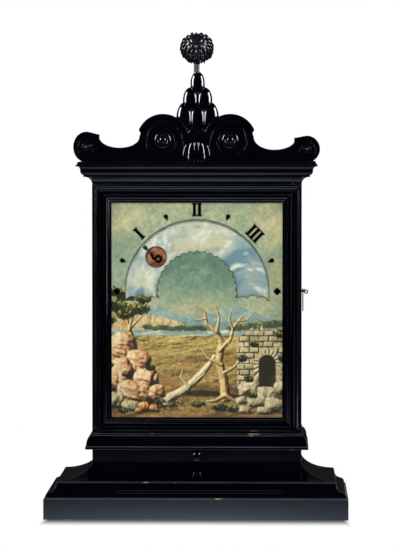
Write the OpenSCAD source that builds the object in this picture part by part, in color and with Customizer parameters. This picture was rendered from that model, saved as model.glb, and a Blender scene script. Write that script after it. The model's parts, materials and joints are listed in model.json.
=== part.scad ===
// Night clock: an ebonised case with a painted door mask, a turning sky disc and a going movement.
// Millimetres. The origin is the centre of the plinth's underside, the front faces -Y and up is +Z.

/* [Case] */
// Width of the case body and of the front door
case_w = 262; // [250:1:280]
// Depth of the case body behind the front door
case_d = 123; // [118:1:135]
// Thickness of the side boards
side_t = 10; // [8:0.5:11]
// Height of the front door
door_h = 312; // [305:1:330]
// Thickness of the front door
door_t = 15; // [14:0.5:16]
// Height of the cornice and of the case top that it wraps
cornice_h = 27; // [24:0.5:34]
// Overhang of the cornice
cornice_out = 19.6; // [17:0.2:24]

/* [Plinth and pedestal] */
// Overhang of the plinth beyond the case and its front door
plinth_out = 58; // [54:0.5:66]
// Depth of the plinth
base_d = 208; // [204:1:230]
// Height of the plinth
plinth_h = 26.5; // [20:0.5:34]
// Height of the moulding on the plinth
base_mould_h = 18.5; // [16:0.5:24]
// Step from the plinth to the foot of its moulding
plinth_step = 2; // [1:0.5:4]
// Height of the swept part of the pedestal
sweep_h = 22.5; // [18:0.5:28]
// Step from the plinth's edge to the lip of the sweep
sweep_step = 15; // [13:0.5:20]
// Height of the plain neck above the sweep
neck_h = 15; // [12:0.5:20]
// Height of the waist moulding and of the case floor that it wraps
waist_h = 19.5; // [16:0.5:24]
// Overhang of the waist moulding's lip
waist_out = 8.7; // [6:0.1:12]

/* [Pediment and finial] */
// Thickness of the fretted board
pediment_t = 18; // [15:0.5:20]
// Radius of each inner hump
hump_r = 32.5; // [31:0.5:34]
// Distance of each hump's eye from the centre line
hump_x = 41.9; // [41:0.1:43]
// Height of each hump's eye above the cornice
hump_z = 27.7; // [26:0.1:30]
// Distance of each end volute's eye from the centre line
volute_x = 137.5; // [135:0.5:139]
// Half width of an end volute
volute_rx = 16; // [15:0.5:17]
// Half height of an end volute
volute_rz = 19; // [18:0.5:20]
// Height of the lowest point of each sweep above the cornice
sweep_floor = 18; // [15:0.5:22]
// Drop of the right half, which was sawn a little lower by hand
right_drop = 2.5; // [0:0.5:4]
// Radius of a bud in the finial mount
bud_r = 8.8; // [8:0.1:10]
// Overlap of neighbouring buds
bud_lap = 0.4; // [0.2:0.1:1]
// Height of the lowest row of buds
bud_low_h = 36; // [32:0.5:40]
// Height by which each higher row stands up
bud_step_h = 19.5; // [17:0.5:22]
// Radius of the finial stem
stem_r = 3.6; // [3:0.1:4.5]
// Height of the finial stem
stem_h = 13.5; // [10:0.5:16]
// Radius of the petalled ball
ball_r = 20.5; // [18:0.5:24]
// Height of the petalled ball over its width
ball_flat = 0.93; // [0.85:0.01:1]
// Petals round the ball's crown
petals = 24; // [16:1:28]
// Tilt of the crown from upright towards the front
crown_tilt = 52; // [30:1:70]

/* [Front door] */
// Width of the moulded stiles
stile_w = 24; // [22:0.5:26]
// Width of the top rail
top_rail_w = 23.3; // [21:0.1:25]
// Width of the bottom rail
bottom_rail_w = 19.4; // [18:0.1:23]
// Depth of the frame's front lip before the mask
rebate_front = 8; // [7.6:0.1:8.5]
// Width of the rebate that holds the mask
rebate_w = 4; // [3:0.5:6]
// Thickness of the painted copper mask
mask_t = 1; // [0.8:0.1:1.5]
// Radius of the door's pivot pins
pin_r = 1.5; // [1:0.1:2]
// Length of each pivot pin inside the case
pin_in = 8; // [6:0.5:10]
// Distance of the pivot from the door's left edge
pivot_in = 4; // [3.5:0.1:4.5]
// Distance of the pivot from the door's front
pivot_back = 5; // [4.8:0.1:6]

/* [Dial] */
// Distance of the dial's centre below the top of the door
dial_down = 134.5; // [130:0.5:138]
// Outer radius of the crescent opening
arch_r = 90; // [86:0.5:92]
// Inner radius of the crescent, along the clouds
cloud_r = 48.6; // [47:0.2:50]
// Height of one cloud scallop
scallop = 2.6; // [1:0.1:3]
// Scallops along the crescent
scallops = 19; // [13:1:21]
// Distance of the quarter marks' middle from the crescent
mark_gap = 12.5; // [12:0.1:13]
// Height of a quarter numeral
mark_h = 16; // [12:0.5:18]
// Stroke of a quarter numeral
mark_w = 3; // [2:0.1:3.6]
// Radius of the turning sky disc
sky_r = 94; // [93:0.5:97]
// Thickness of the sky disc
sky_t = 1; // [0.8:0.1:1.2]
// Radius of an hour window
window_r = 12.9; // [11:0.1:13.5]
// Distance of an hour window's centre from the dial centre
window_at = 67; // [66:0.5:68]
// Distance of a numeral disc's centre from the dial centre
numeral_at = 42; // [41.5:0.1:43]
// Radius of a numeral disc
numeral_r = 37.5; // [36.5:0.1:38]
// Thickness of a numeral disc
numeral_t = 0.8; // [0.6:0.1:0.9]
// Height of an hour numeral
digit_h = 17; // [14:0.5:18]
// Stroke of an hour numeral
digit_w = 2.3; // [1.8:0.1:2.6]

/* [Movement] */
// Half width of the movement plates
plate_x = 56; // [55:0.5:70]
// Thickness of the plates
plate_t = 2.5; // [2:0.1:3]
// Distance between the plates
plate_gap = 35.5; // [35.5:0.1:37]
// Radius of the spring barrel's drum
drum_r = 30; // [26:0.5:31]
// Length of the spring barrel's drum
drum_l = 17.5; // [15:0.5:18]
// Module of the great wheel and the sky pinion
great_m = 1; // [0.98:0.01:1.02]
// Module of the sky wheel and the third pinion
sky_m = 0.6; // [0.59:0.01:0.61]
// Module of the third wheel and the fourth pinion
third_m = 0.55; // [0.54:0.01:0.56]
// Module of the fourth wheel and the escape pinion
fourth_m = 0.5; // [0.49:0.01:0.51]
// Radius of the escape wheel
escape_r = 16; // [15:0.5:17]
// Radius of the running pivots
pivot_r = 1; // [0.8:0.1:1.2]
// Length from the anchor's arbor to the middle of the bob
pendulum_l = 165; // [160:1:168]
// Radius of the pendulum bob
bob_r = 16; // [12:0.5:18]
// Thickness of the seat board
seat_t = 6; // [5:0.5:10]

/* [Lamp and rear door] */
// Thickness of the rear door panel
rear_t = 8; // [6:0.5:10]
// Radius of the lamp's reservoir
lamp_r = 19; // [15:0.5:20]
// Height of the lamp's reservoir
lamp_h = 34; // [25:0.5:45]
// Radius of the lamp's tray
tray_r = 22; // [20:0.5:23]
// Radius of the tin chimney
chimney_r = 18; // [14:0.5:22]
// Height of the chimney above the case top
chimney_h = 14; // [10:0.5:24]
// Width of the tin reflector
reflector_w = 150; // [120:1:180]
// Height of the reflector's foot above the foot of the rear door
reflector_low = 67.5; // [50:0.5:90]
// Distance of the reflector's top below the top of the rear door
reflector_high = 24.5; // [15:0.5:40]
// Wall of the tin work
tin_t = 0.8; // [0.6:0.1:1.2]
// Radius of the rear hinge knuckles
knuckle_r = 3; // [2.5:0.1:3.5]
// Length of a rear hinge
hinge_l = 42; // [36:1:60]

/* [Hook] */
// Radius of the brass wire
wire_r = 0.75; // [0.6:0.05:0.9]
// Radius of the eye's ring along its wire
eye_r = 1.9; // [1.8:0.1:2.4]
// Height of the hook's pivot above the foot of the door
hook_up = 178; // [150:1:200]
// Length of the hook from its pivot to its crook
hook_l = 19; // [16:0.5:24]
// Thickness of the flat brass hook
hook_t = 1.4; // [1:0.1:1.6]

/* [Clearances] */
// Gap above and below the front door
door_clear = 0.5; // [0.4:0.1:1]
// Gap between the front door and the case
door_gap = 1; // [0.9:0.1:2]
// Running clearance of a pivot in its hole
run_clear = 0.05; // [0.03:0.01:0.1]
// Gap round the rear door
rear_clear = 0.5; // [0.4:0.1:1]
// Gap at each mitre of a glued moulding
mitre_gap = 0.05; // [0.04:0.01:0.1]

/* [Hidden] */
$fn = 64;
half_w = case_w / 2;
in_w = half_w - side_t;
base_w = case_w + 2 * plinth_out;
front_y = -base_d / 2 + plinth_out;
door_back = front_y + door_t;
case_front = door_back + door_gap;
back_y = case_front + case_d;
z_mould = plinth_h;
z_sweep = z_mould + base_mould_h;
z_neck = z_sweep + sweep_h;
z_waist = z_neck + neck_h;
z_door = z_waist + waist_h;
z_cornice = z_door + door_h + 2 * door_clear;
z_top = z_cornice + cornice_h;
door_z = z_door + door_clear;
sight_x = half_w - stile_w;
sight_z0 = door_z + bottom_rail_w;
sight_z1 = door_z + door_h - top_rail_w;
dial_z = door_z + door_h - dial_down;
mark_r = arch_r + mark_gap;
mask_front = front_y + rebate_front;
mask_back = mask_front + mask_t;
pivot_x = -half_w + pivot_in;
pivot_y = front_y + pivot_back;
hook_z = z_door + hook_up;

// Planes of the dial and of the movement, from the mask backwards
sky_y = mask_back + 2.5;
numeral_y = sky_y + sky_t + 1;
star_y = numeral_y + numeral_t + 0.5;
star_t = 1.5;
plate_y = star_y + star_t + 7.7;
train_y = plate_y + plate_t;
rear_plate_y = train_y + plate_gap;
great_y = train_y + 8.5;
great_t = 3;
sky_wheel_y = train_y + 2.5;
wheel_t = 1.6;
third_wheel_y = great_y + great_t + drum_l + 1.8;
fourth_wheel_y = train_y + 25.5;
escape_y = train_y + 19.5;
escape_t = 1.2;
window_a = 140;

// Teeth of the train
great_n = 72;
pinion_n = 12;
sky_n = 84;
third_n = 84;
fourth_n = 72;
escape_n = 30;
// Turn that sets both pallets over gaps between teeth
escape_phase = 7;

// Centres of the train, as [x, z]
sky_p = [0, dial_z];
great_turn = 290;
great_p = sky_p + great_m * (great_n + pinion_n) / 2 * [cos(great_turn), sin(great_turn)];
third_p = sky_p - [sky_m * (sky_n + pinion_n) / 2, 0];
third_turn = 72;
third_d = third_m * (third_n + pinion_n) / 2;
fourth_p = third_p + third_d * [cos(third_turn), sin(third_turn)];
fourth_d = fourth_m * (fourth_n + pinion_n) / 2;
escape_p = [0, fourth_p[1] + sqrt(fourth_d * fourth_d - fourth_p[0] * fourth_p[0])];
fourth_turn = atan2(escape_p[1] - fourth_p[1], escape_p[0] - fourth_p[0]);
pallet_a = 45;
anchor_p = escape_p + [0, (escape_r + 0.3) / cos(pallet_a)];
seat_z = great_p[1] - great_m * great_n / 2 - 11;
plate_top = anchor_p[1] + 8;
pendulum_y = rear_plate_y + plate_t + 7.5;
cock_y = pendulum_y + 7;
bob_t = 9;
finial_y = front_y - cornice_out + 3 + pediment_t / 2;
lamp_y = back_y - rear_t - 25;
hinge_x = in_w;
hinge_lift = 0.2;
hinge_y = back_y + knuckle_r + hinge_lift;
leaf_t = 1;
hinge_pin_r = 1.2;
button_x = -half_w + side_t / 2;
button_r = 1;
button_in = 6;

// Points along an arc of an ellipse, from angle a0 to a1
function arc(c, rx, ry, a0, a1, n) =
    [for (i = [0:n]) let (a = a0 + (a1 - a0) * i / n) c + [rx * cos(a), ry * sin(a)]];

function polar(r, a) = [r * cos(a), r * sin(a)];

// A moulding of profile points [overhang, height], mitred round the front and the two sides
module moulding(pts, out) {
    side_l = back_y - front_y + out;
    intersection() {
        translate([-half_w - out, 0, 0])
            rotate([90, 0, 90])
                linear_extrude(2 * (half_w + out))
                    polygon([for (p = pts) [front_y - p[0], p[1]]]);
        linear_extrude(z_top + 1)
            polygon([
                [-half_w + mitre_gap, front_y], [half_w - mitre_gap, front_y],
                [half_w + out - mitre_gap, front_y - out], [-half_w - out + mitre_gap, front_y - out]
            ]);
    }
    for (s = [0, 1])
        mirror([s, 0, 0])
            intersection() {
                translate([0, back_y, 0])
                    rotate([90, 0, 0])
                        linear_extrude(side_l)
                            polygon([for (p = pts) [half_w + p[0], p[1]]]);
                linear_extrude(z_top + 1)
                    polygon([
                        [half_w, front_y + mitre_gap], [half_w + out, front_y - out + mitre_gap],
                        [half_w + out, back_y], [half_w, back_y]
                    ]);
            }
}

// A plate in the XZ plane, drawn as [x, z] and extruded backwards from y
module upright(y, t) {
    translate([0, y + t, 0])
        rotate([90, 0, 0])
            linear_extrude(t)
                children();
}

// A straight round bar along Y
module bar_y(p, y0, y1, r) {
    translate([p[0], y1, p[1]])
        rotate([90, 0, 0])
            cylinder(r = r, h = y1 - y0);
}

// Case

base_out = plinth_out - plinth_step;
sweep_out = plinth_out - sweep_step;

module plinth() {
    edge = 1;
    color("#15120f") {
        translate([-base_w / 2, -base_d / 2, 0])
            cube([base_w, base_d, plinth_h - edge]);
        translate([-base_w / 2 + edge, -base_d / 2 + edge, plinth_h - edge])
            cube([base_w - 2 * edge, base_d - edge, edge]);
    }
}

function base_profile() = let (
        mid_z = z_mould + base_mould_h * 0.4,
        mid = sweep_out + (base_out - sweep_out) * 0.55
    ) concat(
        [[0, z_mould], [base_out, z_mould]],
        arc([mid + 1, z_mould + 1], base_out - mid - 1, mid_z - z_mould - 1.6, 0, 90, 8),
        [[mid, mid_z]],
        arc([mid, z_sweep - 1.5], mid - sweep_out, z_sweep - 1.5 - mid_z, 270, 180, 8),
        [[sweep_out, z_sweep], [0, z_sweep]]
    );

module base_moulding() {
    color("#17130f") moulding(base_profile(), base_out);
}

module pedestal_core() {
    color("#1c1713")
        translate([-half_w, front_y, z_mould])
            cube([case_w, back_y - front_y, z_waist - z_mould]);
}

function sweep_profile() = concat(
    [[0, z_sweep], [sweep_out - 1, z_sweep], [sweep_out - 1, z_sweep + 1.2]],
    arc([sweep_out - 1, z_neck], sweep_out - 1, sweep_h - 1.2, 270, 180, 14)
);

module pedestal_moulding() {
    color("#17130f") moulding(sweep_profile(), sweep_out);
}

boss_r = 6;
boss_h = 19;
module pedestal_boss() {
    color("#17130f")
        difference() {
            translate([0, front_y, z_waist - boss_h]) {
                rotate_extrude()
                    polygon(concat(
                        [[0, 0]],
                        arc([0, boss_r], boss_r, boss_r, 280, 360, 8),
                        arc([0, boss_h * 0.6], boss_r, boss_h * 0.4, 0, 90, 8)
                    ));
                for (s = [-1, 1])
                    translate([s * boss_r * 0.75, 0, 2])
                        cylinder(r1 = 1.5, r2 = 2.4, h = boss_h * 0.5);
            }
            translate([-half_w, front_y, 0])
                cube([case_w, base_d, z_top]);
            translate([-boss_r * 2, 0, 0])
                rotate([90, 0, 90])
                    linear_extrude(boss_r * 4)
                        polygon([for (p = sweep_profile()) [front_y - p[0], p[1]]]);
        }
}

module case_floor() {
    color("#3a2a1c")
        difference() {
            translate([-half_w, front_y, z_waist])
                cube([case_w, back_y - front_y, waist_h]);
            translate([pivot_x, pivot_y, z_door - pin_in - 0.5])
                cylinder(r = pin_r + run_clear, h = pin_in + 1);
        }
}

function waist_profile() = let (lip = 3.5, fillet = 1.5) concat(
    [[0, z_waist], [waist_out, z_waist], [waist_out, z_waist + lip], [waist_out - 1, z_waist + lip]],
    arc([fillet, z_waist + lip], waist_out - 1 - fillet, waist_h - lip - 2.5, 0, 90, 8),
    [[fillet, z_door], [0, z_door]]
);

module waist_moulding() {
    color("#17130f") moulding(waist_profile(), waist_out);
}

module side_board(s) {
    color("#241b14")
        translate([s > 0 ? in_w : -half_w, case_front, z_door])
            cube([side_t, case_d, z_cornice - z_door]);
}

module case_left_side() {
    difference() {
        side_board(-1);
        bar_y([button_x, dial_z], back_y - button_in - 0.2, back_y + 1, button_r + run_clear);
    }
}

module case_right_side() {
    difference() {
        side_board(1);
        translate([in_w + 2, hook_y, hook_z])
            rotate([0, 90, 0])
                cylinder(r = screw_r, h = side_t);
    }
}

module case_top() {
    color("#241b14")
        difference() {
            translate([-half_w, front_y, z_cornice])
                cube([case_w, back_y - front_y, cornice_h]);
            translate([pivot_x, pivot_y, z_cornice - 1])
                cylinder(r = pin_r + run_clear, h = pin_in + 1.5);
            translate([0, lamp_y, z_cornice - 1])
                cylinder(r = chimney_r, h = cornice_h + 2);
        }
}

function cornice_profile() = let (
        band_out = cornice_out * 0.52,
        cove_h = cornice_h * 0.32,
        band_h = cornice_h * 0.09,
        ogee_h = cornice_h * 0.4,
        lip_h = cornice_h * 0.07,
        fillet = 1.9,
        ogee_out = (cornice_out - fillet - band_out) / 2,
        ogee_z = z_cornice + cove_h + band_h
    ) concat(
        [[0, z_cornice]],
        arc([band_out - 1, z_cornice], band_out - 1, cove_h, 180, 90, 10),
        [[band_out, z_cornice + cove_h]],
        arc([band_out, ogee_z + ogee_h / 2], ogee_out, ogee_h / 2, 270, 360, 6),
        arc([cornice_out - fillet, ogee_z + ogee_h / 2], ogee_out, ogee_h / 2, 180, 90, 6),
        [
            [cornice_out, ogee_z + ogee_h], [cornice_out, ogee_z + ogee_h + lip_h],
            [cornice_out - fillet, ogee_z + ogee_h + lip_h], [cornice_out - fillet, z_top], [0, z_top]
        ]
    );

module cornice() {
    color("#17130f") moulding(cornice_profile(), cornice_out);
}

// Pediment

// How much lower the half on side s stands
function drop(s) = s > 0 ? right_drop : 0;

// One half of the fretted outline, from the foot of the notch round to the base line
function pediment_half(s) = let (
        cusp = [hump_x, hump_z] + polar(hump_r, 22),
        nick = cusp - [2.4, 3.2],
        inner = cusp[0] - 0.9,
        inner_rim = cusp[1] - 8.6,
        outer = volute_x - volute_rx + 0.2,
        outer_rim = inner_rim - 1.6 * drop(s),
        mid = (inner + outer) / 2,
        half = (outer - inner) / 2,
        low = sweep_floor - drop(s),
        rz = volute_rz - drop(s)
    ) concat(
        [[0, hump_z + 9]],
        arc([hump_x, hump_z], hump_r, hump_r, 164, 22, 20),
        [nick],
        arc([mid, inner_rim], half, inner_rim - low, 180, 262, 8),
        arc([mid, outer_rim], half, outer_rim - low, 270, 360, 8),
        [[outer - 0.5, outer_rim + 2.8]],
        arc([volute_x, rz], volute_rx, rz, 104, -78, 20),
        [[volute_x + 3.3, 0]]
    );

module pediment_outline() {
    right = pediment_half(1);
    left = pediment_half(-1);
    n = len(right);
    polygon(concat(right, [for (i = [n - 1:-1:1]) [-left[i][0], left[i][1]]]));
}

// The middle of the end volute on side s
function volute_eye(s) = [s * volute_x, volute_rz - drop(s)];

// A spiral groove that winds in towards an eye
module spiral(r0, r1, turns, w, a0) {
    n = 40;
    inner = [for (i = [0:n]) polar(r0 + (r1 - r0) * i / n - w / 2, a0 - 360 * turns * i / n)];
    outer = [for (i = [n:-1:0]) polar(r0 + (r1 - r0) * i / n + w / 2, a0 - 360 * turns * i / n)];
    polygon(concat(inner, outer));
}

relief = 2.5;
seat_in = 1;
hump_eye = 10;
volute_eye_r = 5;
pediment_y = front_y - cornice_out + 3;
module pediment() {
    color("#17130f")
        difference() {
            translate([0, 0, z_top])
                upright(pediment_y, pediment_t)
                    pediment_outline();
            for (s = [-1, 1]) {
                translate([s * hump_x, 0, z_top + hump_z]) {
                    upright(pediment_y - 1, relief + 1)
                        mirror([s > 0 ? 0 : 1, 0])
                            spiral(hump_r - 6.5, 13.5, 1.25, 2, 200);
                    upright(pediment_y - 1, seat_in + 1)
                        circle(r = hump_eye + 0.5);
                }
                translate([volute_eye(s)[0], 0, z_top + volute_eye(s)[1]]) {
                    upright(pediment_y - 1, relief + 1)
                        mirror([s > 0 ? 0 : 1, 0])
                            spiral(volute_rx - 5, 7.2, 1, 1.4, 60);
                    upright(pediment_y - 1, seat_in + 1)
                        circle(r = volute_eye_r + 0.4);
                }
            }
        }
}

// A turned roundel on an eye, with a central boss
module roundel(r) {
    rotate([90, 0, 0])
        rotate_extrude()
            polygon(concat(
                [[0, 0], [r, 0], [r, 1.2]],
                arc([r * 0.78, 1.2], r * 0.22, 1.4, 0, 180, 6),
                arc([0, 1], r * 0.42, 2.6, 0, 90, 6)
            ));
}

module roundels() {
    color("#17130f")
        for (s = [-1, 1]) {
            translate([s * hump_x, pediment_y + seat_in, z_top + hump_z])
                roundel(hump_eye);
            translate([volute_eye(s)[0], pediment_y + seat_in, z_top + volute_eye(s)[1]])
                roundel(volute_eye_r);
        }
}

leaf_h = 27;
module keystone_leaf() {
    lobes = 5;
    color("#17130f")
        difference() {
            for (i = [0:lobes - 1]) {
                u = i - (lobes - 1) / 2;
                hull() {
                    translate([u * 3.2, pediment_y - 1, z_top + 2.4])
                        sphere(r = 2.4, $fn = 16);
                    translate([u * 6.6, pediment_y - 2.5 + abs(u), z_top + leaf_h * 0.43])
                        sphere(r = 4.2, $fn = 16);
                    translate([u * 4.6, pediment_y - 1, z_top + leaf_h - 3])
                        sphere(r = 3, $fn = 16);
                }
            }
            translate([-half_w, pediment_y, z_top - 1])
                cube([case_w, pediment_t, leaf_h * 2]);
        }
}

// One round-topped bud, with a point below that sits between the domes of the next row
dome_h = bud_r * 1.3;
module bud(h, point) {
    rotate_extrude()
        polygon(concat(
            [[0, -point], [bud_r * 0.75, -point * 0.45], [bud_r, 0]],
            arc([0, h - dome_h], bud_r, dome_h, 0, 90, 12)
        ));
}

mount_z = z_top + hump_z + 9;
row2_z = mount_z + bud_low_h;
row3_z = row2_z + bud_step_h;
mount_top = row3_z + bud_step_h;
bud_pitch = 2 * bud_r - bud_lap;
stem_in = 4;
module finial_mount() {
    color("#17130f")
        difference() {
            union() {
                for (k = [-1, 0, 1])
                    translate([k * bud_pitch, finial_y, mount_z])
                        bud(bud_low_h, 0.5);
                for (k = [-0.5, 0.5])
                    translate([k * bud_pitch, finial_y, row2_z])
                        bud(bud_step_h, dome_h);
                translate([0, finial_y, row3_z])
                    bud(bud_step_h, dome_h);
            }
            translate([0, 0, z_top])
                upright(pediment_y - pediment_t, pediment_t * 3)
                    pediment_outline();
            translate([0, finial_y, mount_top - stem_in])
                cylinder(r = stem_r, h = stem_in + 1);
        }
}

ball_z = mount_top + stem_h + ball_r * ball_flat - 1.6;
module finial_stem() {
    flutes = 8;
    color("#17130f")
        translate([0, finial_y, mount_top - stem_in])
            difference() {
                cylinder(r = stem_r, h = stem_h + stem_in);
                for (i = [0:flutes - 1])
                    rotate([0, 0, i * 360 / flutes])
                        translate([stem_r + 0.3, 0, stem_in + 0.5])
                            cylinder(r = 0.9, h = stem_h - 1.5);
            }
}

// Radius of the petalled ball towards a heading and a latitude, seen from its crown
function petal_r(a, lat) = let (
        fan = pow(max(cos(lat * 0.92), 0), 0.6),
        wave = abs(cos(petals * a / 2))
    ) ball_r * (0.89 + 0.11 * wave * fan + 0.02 * cos(lat * 7) * (1 - 0.5 * fan));

module finial_ball() {
    around = petals * 6;
    up = 20;
    bottom = -80;
    top = 84;
    rings = [for (j = [0:up]) let (lat = bottom + (top - bottom) * j / up)
        [for (i = [0:around - 1]) let (a = 360 * i / around, r = petal_r(a, lat))
            [r * cos(lat) * cos(a), r * cos(lat) * sin(a), r * sin(lat) * ball_flat]]];
    pts = concat(
        [for (ring = rings, p = ring) p],
        [[0, 0, -ball_r * 0.9 * sin(80) * ball_flat], [0, 0, ball_r * 0.86 * ball_flat]]
    );
    last = (up + 1) * around;
    sides = [for (j = [0:up - 1], i = [0:around - 1]) let (k = (i + 1) % around)
        [j * around + i, (j + 1) * around + i, (j + 1) * around + k, j * around + k]];
    tris = [for (f = sides) each [[f[0], f[1], f[2]], [f[0], f[2], f[3]]]];
    caps = concat(
        [for (i = [0:around - 1]) [last, i, (i + 1) % around]],
        [for (i = [0:around - 1]) [last + 1, up * around + (i + 1) % around, up * around + i]]
    );
    color("#17130f")
        difference() {
            translate([0, finial_y, ball_z])
                rotate([crown_tilt, 0, 0])
                    polyhedron(points = pts, faces = concat(tris, caps));
            translate([0, finial_y, mount_top - stem_in])
                cylinder(r = stem_r, h = stem_h + stem_in);
        }
}

module chimney() {
    flange = 6;
    color("#8d8f8c")
        translate([0, lamp_y, z_cornice])
            difference() {
                union() {
                    cylinder(r = chimney_r, h = cornice_h + chimney_h);
                    translate([0, 0, cornice_h])
                        cylinder(r = chimney_r + flange, h = tin_t);
                    translate([0, 0, cornice_h + chimney_h - 1.6])
                        cylinder(r = chimney_r + 0.8, h = 1.6);
                }
                translate([0, 0, -1])
                    cylinder(r = chimney_r - tin_t, h = cornice_h + chimney_h + 2);
            }
}

// Front door

// Depth of the frame's face behind the door's front, against the distance from the sight edge
function frame_profile(w) = let (
        q = (w - 4) / 20,
        lip = 6.8
    ) concat(
        [[0, rebate_front], [0, lip], [2.6 * q, 6]],
        arc([4.5 * q, 6], 1.5 * q, 0.9, 180, 0, 6),
        [[6.3 * q, 7], [10 * q, 7]],
        arc([15 * q, 7], 4.8 * q, 3.2, 180, 90, 8),
        [[15.2 * q, 4.8]],
        arc([15.2 * q, 0.9], 5.3 * q, 3.9, 90, 0, 8),
        [[20.9 * q, 0.3], [21.3 * q, 0], [w, 0], [w, door_t], [rebate_w, door_t], [rebate_w, rebate_front]]
    );

// Region of one member: a trapezium from the sight edge to the outer edge, cut at the mitres
module member_region(side) {
    g = mitre_gap;
    z0 = door_z;
    z1 = door_z + door_h;
    if (side == "top")
        polygon([
            [-sight_x + g, sight_z1], [sight_x - g, sight_z1],
            [sight_x + top_rail_w - g, z1], [-sight_x - top_rail_w + g, z1]
        ]);
    if (side == "bottom")
        polygon([
            [-sight_x + g, sight_z0], [sight_x - g, sight_z0],
            [sight_x + bottom_rail_w - g, z0], [-sight_x - bottom_rail_w + g, z0]
        ]);
    if (side == "right")
        polygon([
            [sight_x, sight_z0 + g], [sight_x, sight_z1 - g], [sight_x + top_rail_w, z1 - g],
            [sight_x + top_rail_w, z1], [half_w, z1], [half_w, z0], [sight_x + bottom_rail_w, z0],
            [sight_x + bottom_rail_w, z0 + g]
        ]);
}

module rail(side) {
    difference() {
        plain_rail(side);
        pivot_pins(0);
    }
}

module plain_rail(side) {
    w = side == "top" ? top_rail_w : bottom_rail_w;
    sight = side == "top" ? sight_z1 : sight_z0;
    s = side == "top" ? 1 : -1;
    intersection() {
        translate([-half_w, 0, 0])
            rotate([90, 0, 90])
                linear_extrude(case_w)
                    polygon([for (p = frame_profile(w)) [front_y + p[1], sight + s * p[0]]]);
        upright(front_y - 1, door_t + 2)
            member_region(side);
    }
}

module stile() {
    intersection() {
        translate([0, 0, door_z])
            linear_extrude(door_h)
                polygon([for (p = frame_profile(stile_w)) [sight_x + p[0], front_y + p[1]]]);
        upright(front_y - 1, door_t + 2)
            member_region("right");
    }
}

module door_top_rail() {
    color("#17130f") rail("top");
}

module door_bottom_rail() {
    color("#17130f") rail("bottom");
}

module door_left_stile() {
    color("#17130f")
        difference() {
            mirror([1, 0, 0])
                stile();
            pivot_pins(0);
        }
}

module door_right_stile() {
    color("#17130f")
        difference() {
            stile();
            translate([half_w - 6, eye_y, hook_z])
                rotate([0, 90, 0])
                    cylinder(r = wire_r, h = 8);
        }
}

pin_door = 12;
module pivot_pins(extra) {
    for (z = [door_z - pin_in, door_z + door_h - pin_door])
        translate([pivot_x, pivot_y, z])
            cylinder(r = pin_r + extra, h = pin_in + pin_door, $fn = 48);
}

module door_pivot_pins() {
    color("#9a7b3c") pivot_pins(0);
}

// Quarter marks and small marks round the crescent
module serif_bar(x) {
    translate([x - mark_w / 2, -mark_h / 2])
        square([mark_w, mark_h]);
    for (z = [-mark_h / 2, mark_h / 2 - 1])
        translate([x - mark_w / 2 - 0.9, z])
            square([mark_w + 1.8, 1]);
}

module quarter_mark(count) {
    pitch = mark_w + 3.4;
    for (i = [0:count - 1])
        serif_bar((i - (count - 1) / 2) * pitch);
}

module teardrop() {
    circle(r = 2.2);
    polygon([[-2, 0.9], [2, 0.9], [0.4, -4.6], [-0.4, -4.6]]);
}

module quatrefoil() {
    for (a = [0:90:270])
        rotate(a)
            translate([1.9, 0])
                circle(r = 1.9);
}

module on_dial(r, a) {
    translate([0, dial_z])
        rotate(a - 90)
            translate([0, r])
                children();
}

// The crescent opening, scalloped along its inner edge and at its two ends
module crescent() {
    a0 = -8;
    a1 = 188;
    steps = scallops * 6;
    outer = [for (i = [0:60]) [0, dial_z] + polar(arch_r, a0 + (a1 - a0) * i / 60)];
    inner = [for (i = [steps:-1:0]) let (u = i / steps)
        [0, dial_z] + polar(cloud_r + scallop * abs(sin(180 * scallops * u)), a0 + (a1 - a0) * u)];
    difference() {
        polygon(concat(outer, inner));
        for (s = [-1, 1], k = [0:2])
            translate([s * (cloud_r + 9 + k * 12), dial_z - 14 + 2 * (k % 2)])
                circle(r = 8);
    }
}

module dial_mask() {
    color("#7d8a68")
        upright(mask_front, mask_t)
            difference() {
                translate([-sight_x - rebate_w, sight_z0 - rebate_w])
                    square([2 * (sight_x + rebate_w), sight_z1 - sight_z0 + 2 * rebate_w]);
                crescent();
                for (i = [1:3])
                    on_dial(mark_r, 180 - 45 * i)
                        quarter_mark(i);
                for (i = [0:3])
                    on_dial(mark_r - 1, 157.5 - 45 * i)
                        teardrop();
                for (a = [0, 180])
                    on_dial(mark_r - 2, a)
                        quatrefoil();
            }
}

module mask_clips() {
    clip = [3.4, 1, 12];
    color("#9a7b3c")
        for (s = [-1, 1], z = [0.12, 0.5, 0.88])
            translate([
                s * (sight_x + rebate_w - clip[0] / 2) - clip[0] / 2, mask_back,
                sight_z0 + (sight_z1 - sight_z0) * z - clip[2] / 2
            ])
                cube(clip);
}

// Hook and eye on the right side

eye_y = front_y + 8;
eye_x = half_w + 5.75;
module latch_eye() {
    color("#b08d4a") {
        translate([eye_x, eye_y, hook_z])
            rotate([90, 0, 0])
                rotate_extrude()
                    translate([eye_r, 0])
                        circle(r = wire_r, $fn = 24);
        translate([half_w - 6, eye_y, hook_z])
            rotate([0, 90, 0])
                cylinder(r = wire_r, h = eye_x - eye_r - half_w + 6);
    }
}

hook_y = eye_y + hook_l;
hook_x = half_w + 1;
screw_r = 1.4;
module hook_screw() {
    color("#b08d4a")
        translate([in_w + 2, hook_y, hook_z])
            rotate([0, 90, 0]) {
                cylinder(r = screw_r, h = side_t - 2 + 3.2);
                translate([0, 0, side_t - 2 + 3.2])
                    cylinder(r = 2.8, h = 1);
            }
}

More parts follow.
